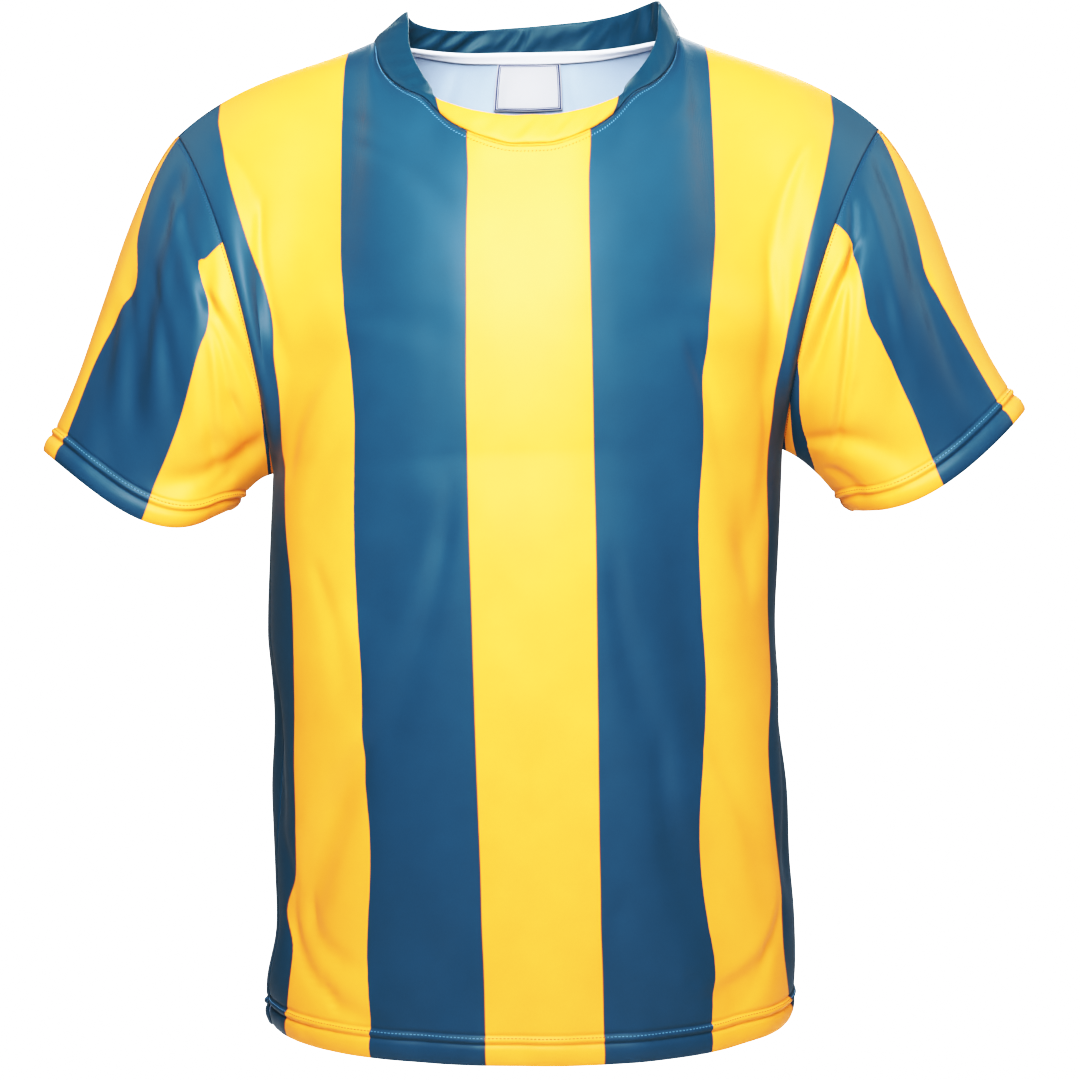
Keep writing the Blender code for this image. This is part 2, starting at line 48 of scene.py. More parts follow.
FLOOR_Z = -1.05
FLOOR_SIZE = 1.55
CAMERA_PLACE = (0.0057, -2.2, -0.3575)
CAMERA_LENS = 102.56
SENSOR = 36.0
SURROUND = 0.12              # light from all round, as a share of white
LIGHT_COLUMNS = ("name", "place", "aim", "size", "power")
LIGHTS = (
    ("key", (-0.08, -1.00, 0.20), (0.0, 0.0, -0.13), 0.50, 25.0),
    ("above", (0.00, -1.00, 0.85), (0.0, 0.0, -0.15), 0.80, 17.0),
    ("front", (0.75, -2.30, -0.10), (0.1, 0.0, -0.20), 1.0, 9.0),
    ("left", (-1.20, 0.45, 0.70), (-0.2, 0.0, -0.2), 0.9, 5.0),
    ("right", (1.20, 0.15, 0.55), (0.2, 0.0, -0.2), 0.9, 9.0),
    ("behind", (0.3, 2.4, 0.8), (0.0, 0.0, -0.35), 1.8, 80.0),
)

# The camera's contrast: linear shades and the shades shown for them. The brightest one shows as white.
TONES = (
    (0.03, 0.012),
    (0.06, 0.030),
    (0.12, 0.083),
    (0.20, 0.202),
    (0.30, 0.340),
    (0.50, 0.570),
    (0.80, 0.790),
    (1.00, 0.865),
    (1.60, 0.960),
)
WHITE = 3.0

scene = bpy.context.scene
scene.view_settings.view_transform = "Standard"
scene.view_settings.use_curve_mapping = True
tone_curve = scene.view_settings.curve_mapping
tone_curve.clip_max_x = WHITE
tone_curve.curves[3].points[1].location = (WHITE, 1.0)
for shade, shown in TONES:
    tone_curve.curves[3].points.new(shade, shown)
tone_curve.update()

NODE_STEP = 180              # nodes stand in a row, in the order that they are made
FLOOR_PAINT = (0.86, 0.86, 0.86, 1)
FLOOR_ROUGHNESS = 0.9


def feed(tree, sockets, given):
    """Gives a node's inputs their numbers, colours or links."""
    for name, value in given.items():
        if isinstance(value, bpy.types.NodeSocket):
            tree.links.new(value, sockets[name])
        else:
            sockets[name].default_value = value


def node(tree, kind, given=None, **settings):
    """A node with its settings and inputs."""
    made = tree.nodes.new(kind)
    made.location.x = NODE_STEP * len(tree.nodes)
    for name, value in settings.items():
        setattr(made, name, value)
    feed(tree, made.inputs, given or {})
    return made


def new_material(name):
    """A material, with its node tree and its shader's inputs."""
    material = bpy.data.materials.new(name)
    material.use_nodes = True
    return material, material.node_tree, material.node_tree.nodes["Principled BSDF"].inputs


def new_piece(name, mesh, *materials):
    """An object in the scene, with its materials."""
    piece = bpy.data.objects.new(name, mesh)
    scene.collection.objects.link(piece)
    for material in materials:
        mesh.materials.append(material)
    return piece


floor_mesh = bpy.data.meshes.new("floor")
square = ((-1, -1), (1, -1), (1, 1), (-1, 1))
floor_mesh.from_pydata([(x * FLOOR_SIZE, y * FLOOR_SIZE, FLOOR_Z) for x, y in square], [], [(0, 1, 2, 3)])
floor_paint, paint, floor_look = new_material("pale_floor")
feed(paint, floor_look, {"Base Color": FLOOR_PAINT, "Roughness": FLOOR_ROUGHNESS})
floor = new_piece("floor", floor_mesh, floor_paint)

world = bpy.data.worlds.new("studio")
scene.world = world
world.use_nodes = True
sky = world.node_tree
sky.nodes.clear()
seen = node(sky, "ShaderNodeLightPath").outputs["Is Camera Ray"]
strength = node(sky, "ShaderNodeMix", {"Factor": seen, "A": SURROUND, "B": WHITE}).outputs["Result"]
glow = node(sky, "ShaderNodeBackground", {"Color": (1, 1, 1, 1), "Strength": strength}).outputs["Background"]
node(sky, "ShaderNodeOutputWorld", {"Surface": glow})

for row in LIGHTS:
    setup = dict(zip(LIGHT_COLUMNS, row))
    lamp = bpy.data.lights.new(setup["name"], "AREA")
    lamp.shape = "SQUARE"
    lamp.size = setup["size"]
    lamp.energy = setup["power"]
    light = bpy.data.objects.new(setup["name"], lamp)
    light.location = setup["place"]
    light.rotation_mode = "QUATERNION"
    light.rotation_quaternion = (Vector(setup["aim"]) - Vector(setup["place"])).to_track_quat("-Z", "Y")
    light.visible_camera = False
    scene.collection.objects.link(light)

camera_data = bpy.data.cameras.new("camera")
camera_data.lens = CAMERA_LENS
camera_data.sensor_width = SENSOR
camera = bpy.data.objects.new("camera", camera_data)
camera.location = CAMERA_PLACE
camera.rotation_euler = (math.pi / 2, 0, 0)
scene.collection.objects.link(camera)
scene.camera = camera

# Front and back panels: smooth interlock knit, printed with stripes before it was cut, white on the inside,
# which is drawn blue-grey with painted shade.
# They are cut from flat cloth, sewn at the shoulders and sides, and turned up and cover-stitched at the hem.
# The sizes are the solid's own; the finer folds are added to them here.

WALL = 0.0015                # the solid's wall, which the cloth lies in
CLOTH = 0.0009               # the cloth as drawn
LAY = 0.0012                 # from the solid's inner face to the cloth's outer face
ARMPIT_Z = -0.300
HEM_Z = -0.711
HEM_RISE_LEFT = 0.012
HEM_RISE_RIGHT = 0.020
ARMPIT_TILT = 0.009
NECK_TILT = 0.020
FOLD_TILT = 0.060
BODY_COLUMNS = ("z", "left", "right", "front", "back", "turn")
BODY = (
    (-0.300, -0.1850, 0.1790, 0.1450, 0.1140, 1.0),
    (-0.372, -0.1873, 0.1760, 0.1475, 0.1080, 9.0),
    (-0.429, -0.1880, 0.1740, 0.1475, 0.1035, 11.0),
    (-0.486, -0.1850, 0.1775, 0.1465, 0.1030, 12.0),
    (-0.543, -0.1862, 0.1835, 0.1450, 0.1075, 12.0),
    (-0.601, -0.1838, 0.1850, 0.1425, 0.1125, 12.0),
    (-0.643, -0.1835, 0.1880, 0.1395, 0.1135, 12.0),
    (-0.682, -0.1900, 0.1880, 0.1360, 0.1115, 12.0),
    (-0.716, -0.1865, 0.1835, 0.1335, 0.1095, 12.0),
)
SQUARENESS = 2.08
RIGHT_SEAM_TURN = 0.6
TIP_LEFT = (-0.2553, 0.020, -0.0665)
TIP_RIGHT = (0.2500, 0.020, -0.0615)
NECK_SIDE_LEFT = -0.1128
NECK_SIDE_RIGHT = 0.1052
RIDGE_Y = 0.012
RIDGE_CROWN = 0.0088
CHEST_RISE = 0.42
CHEST_OUT = 0.006
SHOULDER_HANDLE = (0.062, -0.004)
NECK_HANDLE_FRONT = (0.022, -0.062)
NECK_HANDLE_BACK = (0.030, -0.060)
NECK_SPREAD = 0.022
ARMHOLE_FROM = 0.62
ARMHOLE_POWER = 1.6
ARMPIT_HANDLE = (0.003, 0.085, 0.060)
TIP_HANDLE = (-0.0447, 0.115, -0.062)
NECK_COLUMNS = ("out", "y", "z", "lean", "back", "rise")
NECK_FRONT = (
    (0.0000, -0.113, -0.089, 0.000, 0.013, 0.021),
    (0.0165, -0.112, -0.088, 0.000, 0.013, 0.020),
    (0.0340, -0.108, -0.082, -0.003, 0.012, 0.018),
    (0.0500, -0.097, -0.073, -0.003, 0.012, 0.0155),
    (0.0610, -0.084, -0.063, -0.003, 0.013, 0.0125),
    (0.0730, -0.070, -0.050, 0.004, 0.017, 0.009),
    (0.0870, -0.054, -0.041, 0.011, 0.012, 0.012),
    (0.0980, -0.036, -0.030, 0.016, 0.006, 0.014),
    (0.1050, -0.019, -0.018, 0.019, 0.003, 0.016),
    (0.1080, -0.004, -0.006, 0.021, 0.003, 0.020),
    (0.1090, 0.012, 0.002, 0.021, 0.003, 0.023),
)
NECK_BACK = (
    (0.1090, 0.012, 0.002, 0.021, 0.003, 0.023),
    (0.1040, 0.026, 0.003, 0.016, -0.001, 0.024),
    (0.0920, 0.041, 0.003, 0.010, -0.003, 0.022),
    (0.0740, 0.055, 0.002, 0.007, -0.004, 0.020),
    (0.0500, 0.067, 0.001, 0.004, -0.004, 0.020),
    (0.0250, 0.072, 0.001, 0.002, -0.005, 0.020),
    (0.0000, 0.074, 0.001, 0.000, -0.005, 0.020),
)
LEAN_LEFT = 1.15
LEAN_RIGHT = 0.70
FOLD_COLUMNS = ("s0", "z0", "s1", "z1", "width", "depth")
FOLDS = (
    (-0.222, -0.080, -0.232, -0.225, 0.016, 0.009),
    (0.218, -0.090, 0.210, -0.230, 0.020, 0.006),
    (0.200, -0.120, 0.205, -0.215, 0.015, -0.004),
    (-0.225, -0.300, -0.160, -0.215, 0.016, 0.006),
    (-0.125, -0.195, -0.215, -0.225, 0.022, -0.006),
    (0.125, -0.200, 0.215, -0.220, 0.022, -0.006),
    (0.165, -0.290, 0.178, -0.380, 0.018, 0.005),
    (0.095, -0.290, 0.140, -0.520, 0.022, 0.005),
    (-0.120, -0.420, -0.075, -0.340, 0.022, 0.004),
    (-0.190, -0.640, -0.130, -0.520, 0.020, 0.007),
    (0.120, -0.560, 0.165, -0.700, 0.022, 0.006),
    (-0.235, -0.450, -0.215, -0.560, 0.018, 0.006),
    (0.225, -0.600, 0.250, -0.480, 0.018, 0.005),
    (-0.330, -0.360, -0.300, -0.560, 0.022, 0.007),
    (0.320, -0.380, 0.300, -0.600, 0.022, 0.007),
    (-0.400, -0.420, -0.385, -0.660, 0.022, 0.005),
    (0.410, -0.470, 0.390, -0.680, 0.022, 0.005),
    (0.480, -0.300, 0.470, -0.480, 0.024, -0.004),
)
FOLD_FADE_TOP = 0.12
FOLD_FADE_SIDE = 0.06
CROWDING = 1.25

# Finer folds, on the front as it is seen: across and up at each end, how far the middle bows to the
# right, width, depth, and how far the cloth stands up beside it. The first end is the pinched one.
CREASE_COLUMNS = ("x0", "z0", "x1", "z1", "bow", "width", "depth", "lip")
FRONT_CREASES = (
    (-0.222, -0.078, -0.190, -0.132, 0.004, 0.0060, 0.0016, 0.0010),
    (-0.190, -0.130, -0.176, -0.224, -0.004, 0.0055, 0.0026, 0.0012),
    (-0.136, -0.058, -0.078, -0.102, 0.003, 0.0080, 0.0008, 0.0000),
    (-0.118, -0.085, -0.060, -0.125, 0.002, 0.0080, 0.0010, 0.0000),
    (0.118, -0.056, 0.080, -0.104, -0.003, 0.0080, 0.0007, 0.0000),
    (-0.168, -0.306, -0.136, -0.230, -0.006, 0.0070, 0.0022, -0.0008),
    (-0.150, -0.330, -0.100, -0.250, -0.004, 0.0100, 0.0014, 0.0000),
    (-0.125, -0.208, -0.060, -0.216, 0.003, 0.0120, 0.0012, 0.0000),
    (0.190, -0.086, 0.167, -0.165, -0.004, 0.0060, 0.0026, -0.0010),
    (0.166, -0.165, 0.161, -0.262, 0.003, 0.0060, 0.0022, -0.0012),
    (0.130, -0.208, 0.070, -0.214, -0.003, 0.0120, 0.0012, 0.0000),
    (0.107, -0.226, 0.132, -0.314, 0.003, 0.0080, 0.0020, 0.0006),
    (0.162, -0.270, 0.156, -0.345, 0.003, 0.0060, 0.0016, 0.0000),
    (0.150, -0.395, 0.128, -0.330, 0.004, 0.0080, 0.0012, 0.0000),
    (-0.056, -0.342, -0.107, -0.505, 0.006, 0.0110, 0.0024, 0.0006),
    (-0.112, -0.500, -0.158, -0.602, -0.005, 0.0110, 0.0024, 0.0000),
    (-0.146, -0.380, -0.126, -0.470, 0.003, 0.0080, 0.0014, 0.0000),
    (0.004, -0.500, 0.002, -0.630, 0.000, 0.0140, 0.0014, 0.0000),
    (0.055, -0.379, 0.088, -0.505, -0.004, 0.0110, 0.0022, 0.0000),
    (0.088, -0.500, 0.120, -0.644, -0.006, 0.0120, 0.0024, -0.0006),
    (0.125, -0.505, 0.162, -0.593, 0.005, 0.0090, 0.0024, 0.0000),
    (0.172, -0.618, 0.126, -0.668, 0.010, 0.0065, 0.0024, 0.0010),
    (0.164, -0.640, 0.132, -0.680, 0.008, 0.0060, 0.0014, 0.0000),
    (0.104, -0.652, 0.112, -0.660, 0.000, 0.0030, 0.0012, 0.0000),
    (-0.166, -0.622, -0.118, -0.681, -0.010, 0.0065, 0.0024, -0.0008),
    (-0.152, -0.606, -0.124, -0.648, -0.008, 0.0060, 0.0016, 0.0000),
    (-0.143, -0.662, -0.133, -0.679, 0.000, 0.0024, 0.0012, 0.0006),
    (-0.176, -0.560, -0.168, -0.640, 0.005, 0.0060, 0.0018, 0.0000),
    (-0.030, -0.560, -0.075, -0.690, 0.006, 0.0120, 0.0014, 0.0000),
    (0.060, -0.600, 0.050, -0.690, -0.004, 0.0120, 0.0012, 0.0000),
)
BACK_CREASES = (
    (-0.200, -0.100, -0.168, -0.230, 0.005, 0.0070, 0.0026, 0.0010),
    (0.196, -0.098, 0.162, -0.240, -0.005, 0.0070, 0.0026, -0.0010),
    (-0.024, -0.012, -0.052, -0.110, 0.004, 0.0080, 0.0022, 0.0000),
    (0.030, -0.014, 0.058, -0.100, -0.004, 0.0080, 0.0020, 0.0000),
    (-0.058, -0.016, -0.085, -0.070, 0.003, 0.0070, 0.0016, 0.0000),
    (-0.165, -0.300, -0.105, -0.370, -0.006, 0.0090, 0.0028, 0.0010),
    (0.160, -0.290, 0.095, -0.375, 0.006, 0.0090, 0.0028, 0.0010),
    (-0.140, -0.350, -0.020, -0.430, -0.010, 0.0110, 0.0026, 0.0008),
    (0.140, -0.360, 0.030, -0.445, 0.010, 0.0110, 0.0026, 0.0000),
    (-0.100, -0.452, 0.050, -0.476, -0.008, 0.0120, 0.0024, 0.0008),
    (0.120, -0.470, 0.010, -0.520, 0.008, 0.0110, 0.0018, 0.0000),
    (-0.055, -0.520, -0.100, -0.680, 0.006, 0.0120, 0.0020, 0.0000),
    (0.060, -0.540, 0.110, -0.690, -0.006, 0.0120, 0.0020, 0.0000),
    (0.000, -0.560, -0.010, -0.690, 0.000, 0.0130, 0.0014, 0.0000),
)
CREASE_CROWN = 0.45          # how far the cloth rises again beside a fold, as a share
RIPPLE = 0.0010              # the cloth's slight waves
RIPPLE_LENGTH = 0.055
RIPPLE_STRETCH = 2.2         # they are taller than wide
RIPPLE_FINER = 2.6
RIPPLE_FINER_SHARE = 0.35

# Where the stripes' edges run across each panel, by height. On the cloth they lie 42, 126 and 210 mm from
# its middle.
PRINTED = (-0.210, -0.126, -0.042, 0.042, 0.126, 0.210)
STRIPE_COLUMNS = ("z", "l3", "l2", "l1", "r1", "r2", "r3")
FRONT_STRIPES = (
    (-0.060, -0.2235, -0.1305, -0.0435, 0.0395, 0.1225, 0.2140),
    (-0.100, -0.2140, -0.1290, -0.0440, 0.0400, 0.1228, 0.2050),
    (-0.150, -0.1980, -0.1280, -0.0450, 0.0400, 0.1230, 0.1920),
    (-0.205, -0.1805, -0.1272, -0.0443, 0.0405, 0.1215, 0.1800),
    (-0.237, -0.1780, -0.1228, -0.0441, 0.0409, 0.1176, 0.1720),
    (-0.290, -0.1735, -0.1200, -0.0432, 0.0418, 0.1163, 0.1662),
    (-0.345, -0.1705, -0.1200, -0.0420, 0.0429, 0.1130, 0.1645),
    (-0.400, -0.1640, -0.1182, -0.0402, 0.0436, 0.1150, 0.1640),
    (-0.455, -0.1628, -0.1142, -0.0385, 0.0443, 0.1182, 0.1660),
    (-0.507, -0.1638, -0.1140, -0.0368, 0.0449, 0.1160, 0.1635),
    (-0.555, -0.1630, -0.1090, -0.0350, 0.0454, 0.1132, 0.1672),
    (-0.590, -0.1650, -0.1088, -0.0340, 0.0462, 0.1156, 0.1722),
    (-0.616, -0.1710, -0.1103, -0.0333, 0.0466, 0.1197, 0.1745),
    (-0.645, -0.1665, -0.1110, -0.0320, 0.0478, 0.1250, 0.1755),
    (-0.684, -0.1690, -0.1090, -0.0311, 0.0487, 0.1228, 0.1805),
    (-0.715, -0.1685, -0.1085, -0.0305, 0.0492, 0.1222, 0.1820),
)
BACK_STRIPES = (
    (-0.040, -0.2160, -0.1260, -0.0430, 0.0420, 0.1240, 0.2120),
    (-0.150, -0.1990, -0.1240, -0.0430, 0.0420, 0.1225, 0.1960),
    (-0.260, -0.1790, -0.1190, -0.0415, 0.0410, 0.1170, 0.1750),
    (-0.400, -0.1690, -0.1135, -0.0405, 0.0400, 0.1110, 0.1650),
    (-0.560, -0.1685, -0.1120, -0.0395, 0.0405, 0.1130, 0.1680),
    (-0.715, -0.1720, -0.1150, -0.0400, 0.0410, 0.1150, 0.1710),
)

HEM_ROWS = (0.0145, 0.0205)  # stitch rows above the hem's edge
HEM_ROLL = 0.0013
HEM_SWELL = 0.0007           # the turned-up hem is thicker
NECK_ROW = 0.0065            # stitch row outside the neck seam
SEAM_ROW = 0.0026            # stitch row beside the armhole seam
SEAM_DIP = 0.0007            # how far the cloth turns in at a seam
SEAM_REACH = 0.0013
STITCH_DIP = 0.00045
STITCH_REACH = 0.0011
HEM_GROOVES = ((0.0, 0.00150, 0.0014), (0.5, -0.00110, 0.0022), (1.0, 0.00110, 0.0012))
HEM_EDGE_TUCK = 0.0009
PUCKER_COLUMNS = ("length", "sway", "sway_length", "depth")
PUCKERS = ((0.0040, 2.5, 0.031, 0.00018), (0.0135, 3.0, 0.050, 0.00085))
PUCKER_REACH = 0.011

FRONT_COLUMNS = 216
BACK_COLUMNS = 192
BODY_ROWS = 84
CHEST_ROWS = 96
FRONT_SHOULDER_SHARE = 16 / 36
BACK_SHOULDER_SHARE = 16 / 32
PANEL_HALF = 0.28            # half a panel's width, for the columns beside its seams
SEAM_COLUMNS_END = 0.018     # where those columns end, as a share
SEAM_ROWS_SHARE = 0.85
EDGE_STEPS = (0.0, 0.0009, 0.0019, 0.0032)
HEM_STEPS = (
    0.0, 0.0006, 0.0014, 0.0035, 0.0070, 0.0105, 0.0125, 0.0136, 0.0145,
    0.0154, 0.0165, 0.0180, 0.0196, 0.0205, 0.0214, 0.0226, 0.0240,
)
ABOVE_HEM = 0.027
FINE = 900
EVENED = 6                   # columns over which the chest is drawn smooth
EVEN_FROM_SIDE = 0.045
EVEN_FROM_TOP = 0.035
EVEN_FADE_ROWS = 20


def smooth(xs, ys, x):
    """A smooth curve through the table points, read at x."""
    xs = np.asarray(xs, float)
    ys = np.asarray(ys, float)
    if xs[0] > xs[-1]:
        xs = xs[::-1]
        ys = ys[::-1]
    x = np.clip(np.asarray(x, float), xs[0], xs[-1])
    slope = np.gradient(ys, xs)
    i = np.clip(np.searchsorted(xs, x, side="right") - 1, 0, len(xs) - 2)
    span = xs[i + 1] - xs[i]
    t = (x - xs[i]) / span
    return (
        ys[i] * (1 + 2 * t) * (1 - t) ** 2
        + ys[i + 1] * t * t * (3 - 2 * t)
        + span * slope[i] * t * (1 - t) ** 2
        - span * slope[i + 1] * t * t * (1 - t)
    )


def column(table, names, name):
    """One named column of a table."""
    return [row[names.index(name)] for row in table]


def unit(v):
    """Vectors at length 1."""
    return v / np.maximum(np.linalg.norm(v, axis=-1, keepdims=True), 1e-12)


def ease(x):
    """0 to 1 with soft ends."""
    x = np.clip(x, 0, 1)
    return x * x * (3 - 2 * x)


def length_along(points):
    """How far along its length each point of a polyline is."""
    return np.concatenate([[0.0], np.cumsum(np.linalg.norm(np.diff(points, axis=0), axis=1))])


def read_at(points, at):
    """The polyline's points at these distances along it."""
    run = length_along(points)
    return np.stack([np.interp(at, run, points[:, k]) for k in range(points.shape[1])], axis=1)


def bezier(start, low, high, end, t):
    """Cubic curves between rows of points, read at t."""
    t = t[:, None, None]
    return start * (1 - t) ** 3 + 3 * low * t * (1 - t) ** 2 + 3 * high * t * t * (1 - t) + end * t ** 3


def normals(grid, closed=False):
    """Normals of a grid by its rows and columns."""
    if closed:
        across = np.roll(grid, -1, axis=1) - np.roll(grid, 1, axis=1)
    else:
        across = np.gradient(grid, axis=1)
    return unit(np.cross(across, np.gradient(grid, axis=0)))


def body_level(z, name):
    """A body size at height z."""
    return smooth(column(BODY, BODY_COLUMNS, "z"), column(BODY, BODY_COLUMNS, name), z)


def body_point(angle, z):
    """A point of the body at an angle round it from centre front."""
    middle = (body_level(z, "left") + body_level(z, "right")) / 2
    half = (body_level(z, "right") - body_level(z, "left")) / 2 - WALL
    depth = np.where(np.cos(angle) > 0, body_level(z, "front"), body_level(z, "back")) - WALL
    power = 2 / SQUARENESS
    x = middle + half * np.sign(np.sin(angle)) * np.abs(np.sin(angle)) ** power
    y = -depth * np.sign(np.cos(angle)) * np.abs(np.cos(angle)) ** power
    return np.stack([x, y, z + 0 * angle], axis=-1)


def body_row(z, across, behind):
    """One level of the front or back at places across from -1 to 1, with each point's distance s."""
    turn = math.radians(float(body_level(z, "turn")))
    left = -math.pi / 2 + turn + (2 * math.pi if behind else 0)
    right = math.pi / 2 + turn * RIGHT_SEAM_TURN
    fine = np.linspace(left, right, FINE)
    run = length_along(body_point(fine, z))
    angle = np.interp((across + 1) / 2 * run[-1], run, fine)
    half_turn = np.linspace(0, math.pi, FINE)
    wrapped = (angle + math.pi) % (2 * math.pi) - math.pi
    s = np.sign(wrapped) * np.interp(np.abs(wrapped), half_turn, length_along(body_point(half_turn, z)))
    return body_point(angle, z), s


def neck_line(table, side, shares):
    """Half of the neck seam and of the band's fold above it, at shares from the centre to the shoulder."""
    width = NECK_SIDE_RIGHT if side > 0 else -NECK_SIDE_LEFT
    lean = LEAN_RIGHT if side > 0 else LEAN_LEFT
    rows = np.linspace(0, 1, len(table))
    fine = np.linspace(0, 1, FINE)
    read = {name: smooth(rows, column(table, NECK_COLUMNS, name), fine) for name in NECK_COLUMNS}
    x = side * read["out"] * width / NECK_FRONT[-1][0]
    seam = np.stack([x, read["y"], read["z"] + NECK_TILT * x], axis=1)
    lean_in = read["lean"] * np.where(read["lean"] > 0, lean, 1.0)
    rise = read["rise"] + FOLD_TILT * x * ease(read["y"] / 0.05)
    fold = seam + np.stack([-side * lean_in, read["back"], rise], axis=1)
    line = np.concatenate([seam, fold], axis=1)
    both = read_at(line, shares * length_along(line)[-1])
    return both[:, :3], both[:, 3:]


def neck_loop(behind, across):
    """The seam and the fold at places across from -1 at the left shoulder seam to 1 at the right one."""
    table = tuple(reversed(NECK_BACK)) if behind else NECK_FRONT
    left_seam, left_fold = neck_line(table, -1, -across[across < 0])
    right_seam, right_fold = neck_line(table, 1, across[across >= 0])
    return np.concatenate([left_seam, right_seam]), np.concatenate([left_fold, right_fold])


def shoulder(tip, neck, share):
    """The shoulder seam at shares from its tip to the neck."""
    line = np.asarray(tip) * (1 - share[:, None]) + neck * share[:, None]
    bow = share * (1 - share) ** 2
    line[:, 2] += RIDGE_CROWN * bow / (4 / 27)
    line[:, 1] += (RIDGE_Y - line[:, 1]) * np.sin(math.pi * share)
    return line


def top_edge(behind, across, neck_share):
    """The upper edge of the front or back at places across: shoulder seam, neck seam, shoulder seam."""
    ends, _ = neck_loop(behind, np.array([-1.0, 1.0]))
    at_neck = np.abs(across) <= neck_share
    share = np.clip((1 - np.abs(across)) / (1 - neck_share), 0, 1)
    left = shoulder(TIP_LEFT, ends[0], share)
    right = shoulder(TIP_RIGHT, ends[1], share)
    neck, _ = neck_loop(behind, np.clip(across / neck_share, -1, 1))
    beside = np.where((across < 0)[:, None], left, right)
    return np.where(at_neck[:, None], neck, beside)


def upper_columns(behind, base, top, across, neck_share, shares):
    """Curves that carry the cloth from armpit level up to the top edge, read at shares of their length."""
    side = np.sign(across)
    share = np.abs(across)
    facing = 1.0 if behind else -1.0
    edge = (ease((share - ARMHOLE_FROM) / (1 - ARMHOLE_FROM)) ** ARMHOLE_POWER)[:, None]
    at_neck = (1 - ease(share / neck_share))[:, None]
    rise = top[:, 2] - base[:, 2]
    none = np.zeros(len(across))
    low = base + np.stack([none, facing * CHEST_OUT * (1 - edge[:, 0]), CHEST_RISE * rise], axis=1)
    flat = np.array([0, facing * SHOULDER_HANDLE[0], SHOULDER_HANDLE[1]])
    neck_handle = NECK_HANDLE_BACK if behind else NECK_HANDLE_FRONT
    steep = np.array([0, facing * neck_handle[0], neck_handle[1]])
    high = top + flat * (1 - at_neck) + steep * at_neck
    high[:, 0] += side * NECK_SPREAD * np.sin(math.pi * np.clip(share / neck_share, 0, 1))
    turned = np.stack([side, none + facing, none + 1], axis=1)
    low = low * (1 - edge) + (base + turned * ARMPIT_HANDLE) * edge
    high = high * (1 - edge) + (top + turned * TIP_HANDLE) * edge
    curve = bezier(base, low, high, top, np.linspace(0, 1, FINE))
    lines = [read_at(curve[:, k], shares * length_along(curve[:, k])[-1]) for k in range(len(across))]
    return np.stack(lines, axis=1)


def beside_line(u, v, ends):
    """How far along a line each point is, as a share, and how far to the side of it."""
    u0, v0, u1, v1 = ends
    length = math.hypot(u1 - u0, v1 - v0)
    along = ((u - u0) * (u1 - u0) + (v - v0) * (v1 - v0)) / length ** 2
    return along, ((u - u0) * (v1 - v0) - (v - v0) * (u1 - u0)) / length


def fold_depth(s, z):
    """How far the solid's own folds draw the cloth in at a place."""
    depth = np.zeros_like(s)
    for row in FOLDS:
        fold = dict(zip(FOLD_COLUMNS, row))
        along, across = beside_line(s, z, row[:4])
        ends = ease(2 * along + 0.5) * ease(2.5 - 2 * along)
        depth += fold["depth"] * np.exp(-((across / fold["width"]) ** 2)) * ends
    return depth


def crease_depth(creases, x, z):
    """How far the finer folds draw the cloth in, each a trough with a low crown on either side."""
    depth = np.zeros_like(x)
    for row in creases:
        crease = dict(zip(CREASE_COLUMNS, row))
        along, across = beside_line(x, z, row[:4])
        inside = np.clip(along, -0.3, 1.3)
        across = across - crease["bow"] * 4 * inside * (1 - inside) * np.sign(crease["z1"] - crease["z0"])
        width = crease["width"] * (0.7 + 0.8 * np.clip(along, 0, 1))
        ends = ease(3 * along + 0.6) * ease(2.6 - 2 * along)
        u = across / width
        trough = crease["depth"] * np.exp(-(u ** 2)) * (1 - CREASE_CROWN * u ** 2)
        depth += (trough - crease["lip"] * u * np.exp(-0.5 * u ** 2)) * ends
    return depth


def ripples(x, z, seed):
    """Slight, slow waves of the cloth, with finer ones on them."""
    stretched = z / (RIPPLE_STRETCH * RIPPLE_LENGTH)
    at = np.stack([x / RIPPLE_LENGTH, stretched, np.full_like(x, seed)], axis=-1).reshape(-1, 3)
    broad = [noise.noise(Vector(p)) for p in at.tolist()]
    finer = [noise.noise(Vector(p)) for p in (at * RIPPLE_FINER + 7.0).tolist()]
    return (np.array(broad) + RIPPLE_FINER_SHARE * np.array(finer)).reshape(x.shape)


def evened(grid, below, reach):
    """The cloth above armpit level, drawn smooth from side to side away from its seams."""
    half = 3 * reach
    weight = np.exp(-0.5 * (np.arange(-half, half + 1) / reach) ** 2)
    weight /= weight.sum()
    wide = np.concatenate([np.repeat(grid[:, :1], half, 1), grid, np.repeat(grid[:, -1:], half, 1)], axis=1)
    blurred = sum(w * wide[:, k: k + grid.shape[1]] for k, w in enumerate(weight))
    left, right, _, top = distances(grid)
    share = ease(np.minimum(left, right) / EVEN_FROM_SIDE) * ease((top - 0.004) / EVEN_FROM_TOP)
    share[:below] *= ease((np.arange(below) - below + EVEN_FADE_ROWS) / EVEN_FADE_ROWS)[:, None]
    return grid + (blurred - grid) * share[..., None]


def near(distance, place, reach):
    """1 at a distance from an edge, fading to 0 within reach."""
    return np.exp(-(((distance - place) / reach) ** 2))


